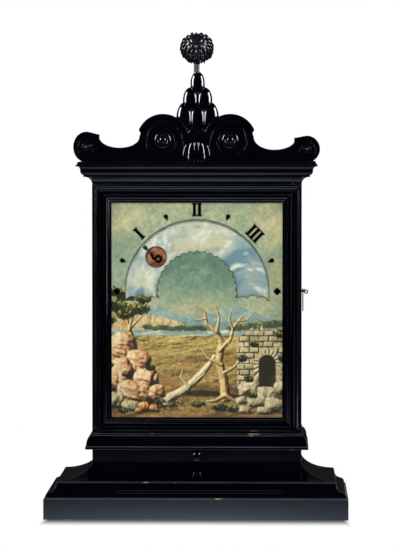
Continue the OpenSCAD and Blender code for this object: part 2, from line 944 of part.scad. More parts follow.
module latch_hook() {
    boss = 3.2;
    w = 3.4;
    crook = wire_r + 0.35;
    color("#b08d4a")
        translate([hook_x, hook_y, hook_z])
            rotate([90, 0, 90])
                linear_extrude(hook_t)
                    difference() {
                        union() {
                            circle(r = boss);
                            translate([-w / 2, -hook_l - 1])
                                square([w, hook_l + 1]);
                            translate([0, -hook_l])
                                circle(r = boss - 0.4);
                            translate([0, -hook_l - boss - 1.4])
                                circle(r = 1.6);
                        }
                        circle(r = screw_r + run_clear);
                        translate([0, -hook_l])
                            circle(r = crook);
                        translate([-boss * 2, -hook_l - crook])
                            square([boss * 2, 2 * crook]);
                    }
}

// Rear door

panel_z0 = z_door + rear_clear;
panel_z1 = z_cornice - rear_clear;
module rear_door_panel() {
    field = 3;
    border = 26;
    color("#3a2a1c")
        difference() {
            translate([-in_w + rear_clear, back_y - rear_t, panel_z0])
                cube([2 * (in_w - rear_clear), rear_t, panel_z1 - panel_z0]);
            translate([-in_w + border, back_y - field, panel_z0 + border])
                cube([2 * (in_w - border), field + 1, panel_z1 - panel_z0 - 2 * border]);
            translate([-in_w + 12, back_y - rear_t - 1, (panel_z0 + panel_z1) / 2])
                rotate([-90, 0, 0])
                    cylinder(r = 2, h = rear_t + 2);
        }
}

module rear_reflector() {
    low = panel_z0 + reflector_low;
    color("#b9bcb8")
        translate([-reflector_w / 2, back_y - rear_t - tin_t, low])
            cube([reflector_w, tin_t, panel_z1 - reflector_high - low]);
}

module rear_knob() {
    color("#b08d4a")
        translate([-in_w + 12, back_y - rear_t, (panel_z0 + panel_z1) / 2])
            rotate([-90, 0, 0]) {
                cylinder(r = 2, h = rear_t);
                translate([0, 0, rear_t])
                    rotate_extrude()
                        polygon(concat(
                            [[0, 0], [4.5, 0], [4.5, 0.8], [1.8, 1.6], [1.8, 3]],
                            arc([0, 6], 4.5, 3, -50, 90, 10)
                        ));
            }
}

module hinge_places() {
    for (z = [panel_z0 + 40, panel_z1 - 40 - hinge_l])
        translate([hinge_x, hinge_y, z])
            children();
}

hinge_play = 0.3;
module rear_hinge_case_leaves() {
    third = hinge_l / 3;
    wing = half_w - hinge_x;
    color("#9a7b3c")
        hinge_places() {
            for (k = [0, 2])
                translate([0, 0, k * third]) {
                    cylinder(r = knuckle_r, h = third);
                    translate([0, back_y - hinge_y, 0])
                        cube([wing, leaf_t, third]);
                }
            translate([knuckle_r + hinge_play, back_y - hinge_y, 0])
                cube([wing - knuckle_r - hinge_play, leaf_t, hinge_l]);
            cylinder(r = hinge_pin_r, h = hinge_l);
        }
}

module rear_hinge_door_leaves() {
    third = hinge_l / 3;
    wing = 18;
    color("#9a7b3c")
        hinge_places() {
            difference() {
                union() {
                    translate([0, 0, third + hinge_play])
                        cylinder(r = knuckle_r, h = third - 2 * hinge_play);
                    translate([-wing, back_y - hinge_y, third + hinge_play])
                        cube([wing, leaf_t, third - 2 * hinge_play]);
                }
                translate([0, 0, third])
                    cylinder(r = hinge_pin_r + run_clear, h = third);
            }
            translate([-wing, back_y - hinge_y, 0])
                cube([wing - knuckle_r - hinge_play, leaf_t, hinge_l]);
        }
}

module rear_turnbutton() {
    arm = 12;
    w = 6;
    t = 2;
    washer_t = 0.8;
    play = 0.3;
    color("#9a7b3c")
        translate([button_x, back_y + play + t, dial_z])
            rotate([90, 0, 0]) {
                linear_extrude(t)
                    polygon(concat(
                        arc([0, arm - w / 2], w / 2, w / 2, 0, 180, 10),
                        arc([0, -arm + w / 2], w / 2, w / 2, 180, 360, 10)
                    ));
                translate([0, 0, -washer_t])
                    cylinder(r = 2.4, h = washer_t);
                cylinder(r = button_r, h = t + play + button_in);
            }
}

// Lamp

module lamp_tray() {
    rim = 5;
    color("#8d8f8c")
        translate([0, lamp_y, z_door])
            rotate_extrude()
                polygon([
                    [0, 0], [tray_r - 1.5, 0], [tray_r, rim], [tray_r - tin_t, rim],
                    [tray_r - 1.5 - tin_t, tin_t], [0, tin_t]
                ]);
}

neck_r = 6;
module lamp_body() {
    color("#a58a4c")
        translate([0, lamp_y, z_door + tin_t])
            rotate_extrude()
                polygon(concat(
                    [[0, 0], [lamp_r * 0.8, 0], [lamp_r * 0.8, 2]],
                    arc([lamp_r * 0.55, 11], lamp_r * 0.45, 9, -70, 60, 10),
                    [[neck_r + 1, lamp_h - 10], [neck_r, lamp_h - 8], [neck_r, lamp_h]],
                    [[3, lamp_h], [3, lamp_h - 12], [0, lamp_h - 12]]
                ));
}

module lamp_wick() {
    color("#e3dccb")
        translate([0, lamp_y, z_door + tin_t + lamp_h - 12])
            cylinder(r = 3, h = 18);
}

// Movement

// Involute angle in degrees at a pressure angle
function inv(a) = tan(a) * 180 / PI - a;

// Half the angle of a tooth at radius r
function tooth_half(n, m, r) = let (
        pressure = 25,
        base = n * m / 2 * cos(pressure),
        play = 0.06 * m,
        at = r <= base ? 0 : acos(base / r)
    ) 90 / n + inv(pressure) - inv(at) - play / (n * m / 2) * 180 / PI;

// A spur gear with a tooth centred on angle 0
module gear(n, m) {
    pitch_r = n * m / 2;
    radii = [
        pitch_r - 1.05 * m, max(pitch_r - 0.4 * m, pitch_r * cos(25)), pitch_r + 0.2 * m,
        pitch_r + 0.8 * m
    ];
    polygon([for (i = [0:n - 1]) each concat(
        [for (k = [0:3]) polar(radii[k], 360 * i / n - tooth_half(n, m, radii[k]))],
        [for (k = [3:-1:0]) polar(radii[k], 360 * i / n + tooth_half(n, m, radii[k]))]
    )]);
}

// A crossed-out wheel turned into mesh, whose flat seat stays square with its arbor
module wheel(n, m, seat_r, spokes, turn) {
    rim = n * m / 2 - 3.2 * m - 1.5;
    hub = seat_r + 2.5;
    difference() {
        rotate(turn)
            gear(n, m);
        circle(r = seat_r, $fn = 12);
        difference() {
            circle(r = rim, $fn = 60);
            circle(r = hub, $fn = 24);
            for (i = [0:spokes - 1])
                rotate(i * 360 / spokes + 11)
                    translate([0, -1.3])
                        square([rim + 1, 2.6]);
        }
    }
}

// A shape turned and placed in the XZ plane
module at(p, y, t, turn) {
    translate([p[0], 0, p[1]])
        upright(y, t)
            rotate(turn)
                children();
}

plate_holes = [sky_p, great_p, third_p, fourth_p, escape_p];
pillar_x = plate_x - 6;
pillar_places = [for (s = [-1, 1], z = [seat_z + 7, plate_top - 7]) [s * pillar_x, z]];
pillar_screw_r = 1.6;

module plate_outline() {
    translate([-plate_x, seat_z])
        square([2 * plate_x, plate_top - seat_z]);
}

sky_arbor_r = 3;
great_arbor_r = 4;
trip_r = 1;
module front_plate() {
    color("#b08d4a") {
        upright(plate_y, plate_t)
            difference() {
                plate_outline();
                translate(sky_p)
                    circle(r = sky_arbor_r + run_clear);
                translate(great_p)
                    circle(r = great_arbor_r + run_clear);
                for (p = [third_p, fourth_p, escape_p, anchor_p])
                    translate(p)
                        circle(r = pivot_r + run_clear);
            }
        bar_y(sky_p - [0, numeral_at + 9], star_y + star_t + 0.3, plate_y, trip_r);
    }
}

module back_plate() {
    color("#b08d4a")
        upright(rear_plate_y, plate_t)
            difference() {
                plate_outline();
                translate(great_p)
                    circle(r = great_arbor_r + run_clear);
                for (p = [sky_p, third_p, fourth_p, escape_p])
                    translate(p)
                        circle(r = pivot_r + run_clear);
                translate(anchor_p)
                    circle(r = 4);
            }
}

module plate_pillars() {
    color("#b08d4a")
        for (p = pillar_places)
            translate([p[0], rear_plate_y, p[1]])
                rotate([90, 0, 0])
                    rotate_extrude()
                        polygon(concat(
                            [[0, 0], [4, 0], [4, 2], [3, 3]],
                            arc([2.6, plate_gap / 2], 2, 5, -75, 75, 10),
                            [[3, plate_gap - 3], [4, plate_gap - 2], [4, plate_gap], [0, plate_gap]]
                        ));
}

module back_cock() {
    foot_x = 15;
    y0 = rear_plate_y + plate_t;
    color("#b08d4a") {
        upright(cock_y, 2.5)
            difference() {
                translate([-foot_x - 4, anchor_p[1] - 4])
                    square([2 * foot_x + 8, 8]);
                translate(anchor_p)
                    circle(r = pivot_r + run_clear);
            }
        for (s = [-1, 1])
            translate([s * foot_x - (s > 0 ? 0 : 4), y0, anchor_p[1] - 4])
                cube([4, cock_y - y0, 8]);
    }
}

module seat_board() {
    color("#3a2a1c")
        translate([-in_w, case_front + 8, seat_z - seat_t])
            cube([2 * in_w, rear_plate_y + plate_t - case_front - 8, seat_t]);
}

module barrel() {
    wall = 1.5;
    drum_y = great_y + great_t;
    color("#b08d4a") {
        at(great_p, great_y, great_t, great_turn + 180)
            difference() {
                gear(great_n, great_m);
                circle(r = great_arbor_r + run_clear);
            }
        difference() {
            bar_y(great_p, drum_y, drum_y + drum_l, drum_r);
            bar_y(great_p, drum_y - 1, drum_y + drum_l - wall, drum_r - wall);
            bar_y(great_p, drum_y, drum_y + drum_l + 1, great_arbor_r + run_clear);
        }
    }
}

module barrel_arbor() {
    square_w = 5;
    end = rear_plate_y + plate_t;
    color("#8c9096") {
        bar_y(great_p, plate_y - 0.5, end + 1, great_arbor_r);
        translate([great_p[0] - square_w / 2, end + 1, great_p[1] - square_w / 2])
            cube([square_w, 10, square_w]);
    }
}

// The wound mainspring, as one unbroken spiral strip
module mainspring() {
    turns = 9;
    steps = 14 * turns;
    r0 = great_arbor_r + 0.25;
    r1 = drum_r - 2.4;
    strip = 0.6;
    path = [for (i = [0:steps]) [r0 + (r1 - r0) * i / steps, 360 * turns * i / steps]];
    color("#5b6470")
        translate([great_p[0], 0, great_p[1]])
            upright(great_y + great_t + 1, drum_l - 4)
                polygon(concat(
                    [for (p = path) polar(p[0], p[1])],
                    [for (i = [steps:-1:0]) polar(path[i][0] + strip, path[i][1])]
                ));
}

// End shake of an arbor between the plates
shake = 0.2;

// An arbor between the plates, with its pivots and its pinion
module arbor(p, r, pinion_y, pinion_l, m, turn) {
    color("#8c9096") {
        bar_y(p, train_y - plate_t, train_y + 2 * shake, pivot_r);
        bar_y(p, rear_plate_y - 2 * shake, rear_plate_y + plate_t, pivot_r);
        at(p, train_y + shake, plate_gap - 2 * shake, 0)
            circle(r = r, $fn = 12);
        at(p, pinion_y, pinion_l, turn)
            gear(pinion_n, m);
    }
}

seat_r = 2.2;
module sky_arbor() {
    shoulder_y = sky_wheel_y - 0.5;
    color("#8c9096") {
        bar_y(sky_p, sky_y, shoulder_y, sky_arbor_r);
        at(sky_p, shoulder_y - shake, rear_plate_y - shoulder_y, 0)
            circle(r = seat_r, $fn = 12);
        bar_y(sky_p, rear_plate_y - 2 * shake, rear_plate_y + plate_t, pivot_r);
        at(sky_p, great_y - 1, great_t + 2, great_turn + 180 / pinion_n)
            gear(pinion_n, great_m);
    }
}

module sky_wheel() {
    color("#b08d4a")
        at(sky_p, sky_wheel_y, wheel_t, 0)
            wheel(sky_n, sky_m, seat_r, 5, 180);
}

thin_r = 1.5;
module third_arbor() {
    arbor(third_p, thin_r, sky_wheel_y - 0.7, wheel_t + 1.4, sky_m, 180 / pinion_n);
}

module third_wheel() {
    color("#b08d4a")
        at(third_p, third_wheel_y, wheel_t, 0)
            wheel(third_n, third_m, thin_r, 5, third_turn);
}

module fourth_arbor() {
    turn = third_turn + 180 + 180 / pinion_n;
    arbor(fourth_p, thin_r, third_wheel_y - 0.7, wheel_t + 1.4, third_m, turn);
}

module fourth_wheel() {
    color("#b08d4a")
        at(fourth_p, fourth_wheel_y, wheel_t, 0)
            wheel(fourth_n, fourth_m, thin_r, 4, fourth_turn);
}

module escape_arbor() {
    turn = fourth_turn + 180 + 180 / pinion_n;
    arbor(escape_p, thin_r, fourth_wheel_y - 0.7, wheel_t + 1.4, fourth_m, turn);
}

// An escape wheel with raked pointed teeth
module escape_wheel() {
    root = escape_r - 4;
    color("#b08d4a")
        at(escape_p, escape_y, escape_t, 0)
            difference() {
                rotate(escape_phase)
                    polygon([for (i = [0:escape_n - 1]) let (a = 360 * i / escape_n) each [
                        polar(root, a - 7), polar(escape_r, a - 2), polar(escape_r, a - 1),
                        polar(root, a + 1)
                    ]]);
                circle(r = thin_r, $fn = 12);
                difference() {
                    circle(r = root - 2, $fn = 48);
                    circle(r = thin_r + 2, $fn = 24);
                    for (i = [0:3])
                        rotate(90 * i)
                            translate([0, -1])
                                square([root, 2]);
                }
            }
}

// A recoil anchor, whose pallets stop just outside the tips of the teeth
module anchor() {
    drop = anchor_p[1] - escape_p[1];
    inner = escape_r + 0.35;
    outer = inner + 4;
    band = [for (i = [0:12]) polar(outer, 90 - pallet_a + 2 * pallet_a * i / 12)];
    inside = [for (i = [12:-1:0]) polar(inner + 1.5, 90 - pallet_a + 2 * pallet_a * i / 12)];
    tips = [for (s = [-1, 1]) [
        polar(inner, 90 + s * pallet_a), polar(inner, 90 + s * (pallet_a - 5)),
        polar(outer, 90 + s * (pallet_a - 9)), polar(outer, 90 + s * pallet_a)
    ]];
    color("#8c9096") {
        at(escape_p, escape_y - 0.6, escape_t + 1.2, 0) {
            polygon(concat(band, inside));
            for (t = tips)
                polygon(t);
            polygon([[-3, inner + 2], [3, inner + 2], [2.4, drop], [-2.4, drop]]);
            translate([0, drop])
                circle(r = 3.4, $fn = 12);
        }
        bar_y(anchor_p, plate_y, train_y + 0.2, pivot_r);
        at(anchor_p, train_y + 0.2, cock_y - 0.2 - train_y - 0.2, 0)
            circle(r = thin_r, $fn = 12);
        bar_y(anchor_p, cock_y - 0.2, cock_y + 2.5, pivot_r);
    }
}

module pendulum() {
    rod_w = 3;
    bob_z = anchor_p[1] - pendulum_l;
    color("#8c9096")
        at(anchor_p, pendulum_y - 1, 2, 0)
            difference() {
                union() {
                    circle(r = 4, $fn = 24);
                    translate([-rod_w / 2, -pendulum_l - bob_r - 6])
                        square([rod_w, pendulum_l + bob_r + 6]);
                }
                circle(r = thin_r, $fn = 12);
            }
    color("#b08d4a")
        translate([0, pendulum_y, bob_z])
            rotate([90, 0, 0])
                rotate_extrude()
                    polygon(concat(
                        arc([bob_r - 2, 0], 2, bob_t / 4, -90, 90, 8),
                        [[0, bob_t / 2], [0, -bob_t / 2]]
                    ));
}

// Sky disc and the hour numerals

function disc_centre(k) = sky_p + polar(numeral_at, window_a + 180 * k);
stud_r = 2;

module sky_disc() {
    color("#c9cfc6") {
        upright(sky_y, sky_t)
            difference() {
                translate(sky_p)
                    circle(r = sky_r, $fn = 120);
                translate(sky_p)
                    circle(r = sky_arbor_r);
                for (k = [0, 1])
                    translate(sky_p + polar(window_at, window_a + 180 * k))
                        circle(r = window_r);
            }
        for (k = [0, 1]) {
            bar_y(disc_centre(k), sky_y + sky_t, star_y + star_t + 1.2, stud_r);
            bar_y(disc_centre(k), star_y + star_t + 0.3, star_y + star_t + 1.2, stud_r + 1.6);
            upright(sky_y - 0.4, 0.4)
                on_dial(window_at + window_r + 4.6, window_a + 180 * k)
                    polygon([[-1.8, 2], [1.8, 2], [0, -3]]);
        }
    }
}

// Strokes of a digit: a straight stroke and an arc, each one polygon
module stroke(p, q) {
    d = q - p;
    l = norm(d);
    n = [-d[1], d[0]] / l * digit_w / 2;
    polygon([p + n, p - n, q - n, q + n]);
}

module bow(c, r, a0, a1) {
    n = 10;
    polygon(concat(
        arc(c, r - digit_w / 2, r - digit_w / 2, a0, a1, n),
        arc(c, r + digit_w / 2, r + digit_w / 2, a1, a0, n)
    ));
}

// Stencil digits, centred on the origin, with no closed loop
module digit(d) {
    h = digit_h / 2 - digit_w / 2;
    w = digit_h * 0.24;
    r = h / 2;
    if (d == 1) {
        stroke([0, -h], [0, h + digit_w / 2]);
        stroke([-w * 0.9, h - 1.6], [0.3, h + 0.2]);
    }
    if (d == 2) {
        bow([0, h - r], r, -30, 170);
        stroke([r * 0.8, h - r - 1], [-w - 0.2, -h]);
        stroke([-w - 0.6, -h], [w + 1, -h]);
    }
    if (d == 3) {
        bow([0, h - r], r, -80, 150);
        bow([0, -h + r], r, -150, 80);
    }
    if (d == 4) {
        stroke([w * 0.2, h], [-w - 0.6, -h * 0.2]);
        stroke([-w - 1.2, -h * 0.25], [w + 1.4, -h * 0.25]);
        stroke([w * 0.9, h * 0.3], [w * 0.9, -h - 0.8]);
    }
    if (d == 5) {
        stroke([-w + 0.2, h], [w + 0.8, h]);
        stroke([-w + 0.8, h + 0.6], [-w + 0.4, 0.4]);
        bow([-0.2, -h + r + 0.4], r + 0.3, -150, 115);
    }
    if (d == 6) {
        bow([0, -h + r], r, -190, 140);
        bow([r + 1.4, 0], 2 * r + 1.4, 125, 190);
    }
    if (d == 7) {
        stroke([-w - 0.6, h], [w + 1.2, h]);
        stroke([w + 0.4, h + 0.4], [-w * 0.5, -h - 0.6]);
    }
    if (d == 8) {
        bow([0, h - r], r * 0.95, -55, 78);
        bow([0, h - r], r * 0.95, 112, 235);
        bow([0, -h + r], r, 115, 425);
    }
    if (d == 9)
        rotate(180)
            digit(6);
    if (d == 0) {
        bow([0, 0], h * 0.78, 100, 260);
        bow([0, 0], h * 0.78, -80, 80);
    }
}

module numeral(n) {
    if (n < 10)
        digit(n);
    else
        scale(0.84) {
            translate([-digit_h * 0.34, 0])
                digit(1);
            translate([digit_h * 0.26, 0])
                scale(0.92)
                    digit(n - 10);
        }
}

// A numeral disc: six pierced hours, with a six-point star behind it
module numeral_disc(first, k) {
    c = disc_centre(k);
    ring = window_at - numeral_at;
    color("#9c5f3a") {
        at(c, numeral_y, numeral_t, 0)
            difference() {
                circle(r = numeral_r, $fn = 96);
                circle(r = stud_r + run_clear);
                for (i = [0:5])
                    rotate(window_a + 180 * k - 90 + 60 * (i - 2))
                        translate([0, ring])
                            numeral(first + 2 * i);
            }
        at(c, numeral_y + numeral_t, star_y + star_t - numeral_y - numeral_t, window_a)
            difference() {
                polygon([for (i = [0:11]) polar(i % 2 == 0 ? 9 : 5, 30 * i)]);
                circle(r = stud_r + run_clear);
            }
    }
}

module even_numerals() {
    numeral_disc(2, 0);
}

module odd_numerals() {
    numeral_disc(1, 1);
}

module jumper_springs() {
    w = 1.1;
    color("#5b6470")
        for (k = [0, 1])
            at(sky_p, star_y, star_t - 0.3, window_a + 180 * k) {
                foot = [62, 62];
                tip = [numeral_at + 9.3, 3.4];
                d = (tip - foot) / norm(tip - foot);
                n = [-d[1], d[0]] * w / 2;
                polygon([foot + n, foot - n, tip - n, tip + n]);
                translate(foot)
                    circle(r = 3, $fn = 12);
            }
    color("#5b6470")
        for (k = [0, 1])
            at(sky_p, sky_y + sky_t, star_y - sky_y - sky_t, window_a + 180 * k)
                translate([62, 62])
                    circle(r = 3, $fn = 12);
}

plinth();
base_moulding();
pedestal_core();
pedestal_moulding();
pedestal_boss();
case_floor();
waist_moulding();
case_left_side();
case_right_side();
case_top();
cornice();
pediment();
roundels();
keystone_leaf();
finial_mount();
finial_stem();
finial_ball();
chimney();
door_top_rail();
door_bottom_rail();
door_left_stile();
door_right_stile();
dial_mask();
mask_clips();
door_pivot_pins();
latch_eye();
hook_screw();
latch_hook();
rear_door_panel();
rear_reflector();
rear_knob();
rear_hinge_case_leaves();
rear_hinge_door_leaves();
rear_turnbutton();
lamp_tray();
lamp_body();
lamp_wick();
seat_board();
front_plate();
back_plate();
plate_pillars();
back_cock();
barrel();
barrel_arbor();
mainspring();
sky_arbor();
sky_wheel();
third_arbor();
third_wheel();
fourth_arbor();
fourth_wheel();
escape_arbor();
escape_wheel();
anchor();
pendulum();
sky_disc();
even_numerals();
odd_numerals();
jumper_springs();
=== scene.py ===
# %% [markdown]
# # A night clock, dressed for its portrait
# The clock's construction comes in as a fixed frame: every board, moulding, plate and wheel already has
# its real size and place. This notebook gives each of them the surface that a maker would give it, and
# models the carving and the painting that a construction model leaves out.

# %% Load the frame
import json
import math

import bmesh
import bpy
import numpy as np
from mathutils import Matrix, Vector, geometry


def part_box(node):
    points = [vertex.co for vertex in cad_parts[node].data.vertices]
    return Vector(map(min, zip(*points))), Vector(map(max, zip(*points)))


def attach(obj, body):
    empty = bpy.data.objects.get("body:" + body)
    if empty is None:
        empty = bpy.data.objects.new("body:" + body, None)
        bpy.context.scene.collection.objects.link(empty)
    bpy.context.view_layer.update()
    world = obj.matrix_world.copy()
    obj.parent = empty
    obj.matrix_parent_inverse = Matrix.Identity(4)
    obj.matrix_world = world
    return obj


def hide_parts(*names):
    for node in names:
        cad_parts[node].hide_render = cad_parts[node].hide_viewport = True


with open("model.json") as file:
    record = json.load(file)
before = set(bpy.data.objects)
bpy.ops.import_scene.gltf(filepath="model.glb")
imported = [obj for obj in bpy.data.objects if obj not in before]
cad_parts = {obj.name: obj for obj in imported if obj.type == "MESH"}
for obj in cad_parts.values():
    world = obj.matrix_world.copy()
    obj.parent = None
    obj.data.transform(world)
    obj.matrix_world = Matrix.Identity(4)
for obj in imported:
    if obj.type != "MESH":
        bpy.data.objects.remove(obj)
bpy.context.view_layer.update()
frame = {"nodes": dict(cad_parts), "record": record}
nodes = frame["nodes"]
body_of = {
    name: body
    for body, members in frame["record"]["behaviour"]["bodies"].items()
    for name in members
}
slot_of = {part["node"]: part["material_slot"] for part in frame["record"]["subparts"]}
MM = 0.001

# %% [markdown]
# ## The camera
# The photograph was taken from about four and a half metres away, a little to the right of the clock and
# a little above its middle. A long lens at that distance keeps the verticals nearly parallel, so the
# camera is aimed with a rotation and needs no lens shift.

# %% Place the camera
CAMERA_AT = Vector((0.104, -4.416, 0.497))
CAMERA_AIM = Vector((0.004, -0.046, 0.301))
PICTURE_HEIGHT = 0.6875
scene = bpy.context.scene
lens_camera = bpy.data.cameras.new("portrait_camera")
camera = bpy.data.objects.new("portrait_camera", lens_camera)
scene.collection.objects.link(camera)
scene.camera = camera
lens_camera.sensor_fit = "VERTICAL"
lens_camera.sensor_height = 36.0
lens_camera.lens = 36.0 * (CAMERA_AIM - CAMERA_AT).length / PICTURE_HEIGHT
camera.location = CAMERA_AT
camera.rotation_euler = (CAMERA_AIM - CAMERA_AT).to_track_quat("-Z", "Y").to_euler()
print("lens", round(lens_camera.lens, 1), "mm")

# %% [markdown]
# ## Small tools
# Colours are written as they are read from a colour picker, as sRGB hex, and one function turns them to
# the linear values that the renderer wants. One more function adds a shader node with its settings and
# its links, so that a material reads as a short list of steps.


# %% Colours and nodes
def linear(hex_colour):
    """An sRGB hex colour as linear red, green, blue and alpha."""
    channels = [int(hex_colour[i:i + 2], 16) / 255 for i in (1, 3, 5)]
    rgb = [c / 12.92 if c <= 0.04045 else ((c + 0.055) / 1.055) ** 2.4 for c in channels]
    return (*rgb, 1.0)


def add(tree, kind, inputs=None, stops=(), **settings):
    """Adds a node; an input is a value or the socket that feeds it, and stops are a ramp's."""
    node = tree.nodes.new(kind)
    for key, value in settings.items():
        setattr(node, key, value)
    for _ in stops[2:]:
        node.color_ramp.elements.new(0.5)
    for k, (position, colour) in enumerate(stops):
        node.color_ramp.elements[k].position = position
        node.color_ramp.elements[k].color = linear(colour)
    for key, value in (inputs or {}).items():
        if isinstance(value, bpy.types.NodeSocket):
            tree.links.new(value, node.inputs[key])
        else:
            node.inputs[key].default_value = value
    return node


def new_material(name, **sockets):
    """A material with a Principled shader whose uniform sockets are set here."""
    material = bpy.data.materials.new(name)
    material.use_nodes = True
    tree = material.node_tree
    shader = tree.nodes["Principled BSDF"]
    for key, value in sockets.items():
        shader.inputs[key.replace("_", " ")].default_value = value
    return material, tree, shader


def finish_surface(tree, shader, colour, relief, strength, depth, rough=None):
    """Gives a finish its colour, its relief and, where that is uneven, its roughness."""
    bump = add(tree, "ShaderNodeBump", {"Strength": strength, "Distance": depth, "Height": relief})
    tree.links.new(colour, shader.inputs["Base Color"])
    tree.links.new(bump.outputs[0], shader.inputs["Normal"])
    if rough is not None:
        tree.links.new(rough, shader.inputs["Roughness"])


# %% [markdown]
# ## Ebonised pear
# The case is pear wood, a very even timber, stained black right through its pores and French polished.
# The eye gets a deep, slightly cold black and a tight gloss, and the fine grain shows only where light
# grazes it. Two hundred years of dusting have rubbed the arrises: there the shellac is thinner and
# duller, so they scatter light from every side, and a knock here and there has bared the wood. Their
# colour is a cold grey, partly that wear and partly a painted highlight, which draws each moulding with
# a thin grey line. The flat faces and the arrises are therefore two finishes of one wood.


# %% Ebonised pear wood
BARE_PEAR = "#a1937c"
KNOCKED_FROM, KNOCKED_FULLY = 0.68, 0.7


def ebonised_pear(name, grain, stain, rough_low, rough_high, coat, chipped=False):
    """Black pear with its grain along one axis, under polish that is more or less rubbed."""
    material, tree, shader = new_material(name, IOR=1.5, Coat_Weight=coat, Coat_Roughness=0.03)
    place = add(tree, "ShaderNodeTexCoord").outputs["Object"]
    # Fibres a few millimetres wide and a hundred long, drawn coarse enough to show
    stretch = {"X": (12, 300, 300), "Y": (300, 12, 300), "Z": (300, 300, 12)}[grain]
    along = add(tree, "ShaderNodeMapping", {"Vector": place, "Scale": stretch}).outputs[0]
    fibre = add(tree, "ShaderNodeTexNoise", {"Vector": along, "Scale": 1.0, "Detail": 4.0}).outputs[0]
    smear = add(tree, "ShaderNodeTexNoise", {"Vector": place, "Scale": 40.0, "Detail": 5.0}).outputs[0]
    colour = add(tree, "ShaderNodeValToRGB", {0: fibre}, [(0.3, stain[0]), (0.7, stain[1])]).outputs[0]
    if chipped:
        # The noise is highest in a few small patches, and there the stain is off the edge
        knocks = add(
            tree, "ShaderNodeTexNoise", {"Vector": place, "Scale": 55.0, "Detail": 3.0}
        ).outputs[0]
        bare = add(
            tree, "ShaderNodeMapRange", {0: knocks, 1: KNOCKED_FROM, 2: KNOCKED_FULLY, 3: 0.0, 4: 1.0}
        ).outputs[0]
        bared = {"Factor": bare, "A": colour, "B": linear(BARE_PEAR)}
        colour = add(tree, "ShaderNodeMix", bared, data_type="RGBA").outputs["Result"]
    rough = add(
        tree, "ShaderNodeMapRange", {0: smear, 1: 0.3, 2: 0.75, 3: rough_low, 4: rough_high}
    ).outputs[0]
    finish_surface(tree, shader, colour, fibre, 0.1, 0.2 * MM, rough)
    return material


# Each stain goes from the darker fibres to the lighter ones
POLISHED = {"stain": ("#000003", "#020207"), "rough_low": 0.09, "rough_high": 0.17, "coat": 0.3}
# The rubbed arrises' cold grey is partly wear and partly a painted highlight along each edge
RUBBED_AND_HIGHLIT = {"stain": ("#26282e", "#3c3e45"), "rough_low": 0.28, "rough_high": 0.42, "coat": 0.0}
# The carver left tool marks that no polish reached, so the carving is a little duller
TOOLED = {"stain": ("#06060c", "#15151d"), "rough_low": 0.2, "rough_high": 0.32, "coat": 0.25}
PEAR = {grain: ebonised_pear(f"ebonised_pear_{grain.lower()}", grain, **POLISHED) for grain in "XYZ"}
ARRIS = {
    grain: ebonised_pear(f"rubbed_highlit_arris_{grain.lower()}", grain, chipped=True, **RUBBED_AND_HIGHLIT)
    for grain in "XYZ"
}
CARVED = ebonised_pear("carved_pear", "Z", **TOOLED)
print("pear finishes:", [m.name for m in (*PEAR.values(), *ARRIS.values(), CARVED)])

# %% [markdown]
# ## Carcass pine
# Inside, nobody stained the boards. They are pine, browned by age and lamp smoke. A board that is black
# outside and pine inside needs one material that knows which face it is on: the faces that look inwards
# are told apart by their place, because the boards stand at known planes.


# %% Pine inside the case
PINE_ROUGH = 0.62
SIDE_POLISH = 0.13


def carcass_pine(name, inside_x=None):
    """Smoked pine; with inside_x, only the faces nearer the middle than that are bare."""
    material, tree, shader = new_material(name, IOR=1.5)
    place = add(tree, "ShaderNodeTexCoord").outputs["Object"]
    along = add(tree, "ShaderNodeMapping", {"Vector": place, "Scale": (60, 60, 6)}).outputs[0]
    growth = add(
        tree,
        "ShaderNodeTexWave",
        {"Vector": along, "Scale": 1.0, "Distortion": 6.0, "Detail": 3.0},
    ).outputs["Fac"]
    rings = [(0.0, "#5a3d22"), (0.6, "#7a5733"), (1.0, "#3f2a18")]
    pine = add(tree, "ShaderNodeValToRGB", {0: growth}, rings).outputs[0]
    colour, rough = pine, None
    shader.inputs["Roughness"].default_value = PINE_ROUGH
    if inside_x is not None:
        x = add(tree, "ShaderNodeSeparateXYZ", {"Vector": place}).outputs["X"]
        size = add(tree, "ShaderNodeMath", {0: x}, operation="ABSOLUTE").outputs[0]
        outside = add(
            tree, "ShaderNodeMapRange", {0: size, 1: inside_x, 2: inside_x + 0.2 * MM, 3: 0.0, 4: 1.0}
        ).outputs[0]
        stained = {"Factor": outside, "A": pine, "B": linear("#030309")}
        colour = add(tree, "ShaderNodeMix", stained, data_type="RGBA").outputs["Result"]
        rough = add(
            tree, "ShaderNodeMapRange", {0: outside, 1: 0.0, 2: 1.0, 3: PINE_ROUGH, 4: SIDE_POLISH}
        ).outputs[0]
    finish_surface(tree, shader, colour, growth, 0.3, 0.3 * MM, rough)
    return material


side_inner = abs(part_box("case_right_side")[0][0])
PINE = carcass_pine("smoked_pine")
SIDE_BOARD = carcass_pine("side_board_black_and_pine", side_inner + 0.1 * MM)
print("side boards are pine inside x =", round(side_inner, 4))

# %% [markdown]
# ## Metals
# The movement is brass and steel. Old brass is warm and a little dull, with fingerprints and a brown
# bloom in places; filed steel is grey with fine scratches; tinplate is pale and blotched. One function
# makes them all, because the recipe is the same: a metal whose roughness is uneven, tinted by tarnish.


# %% Brass, steel, tin and blued steel
# How much rougher a metal is where its tarnish is thickest
TARNISH_DULLS = 0.22


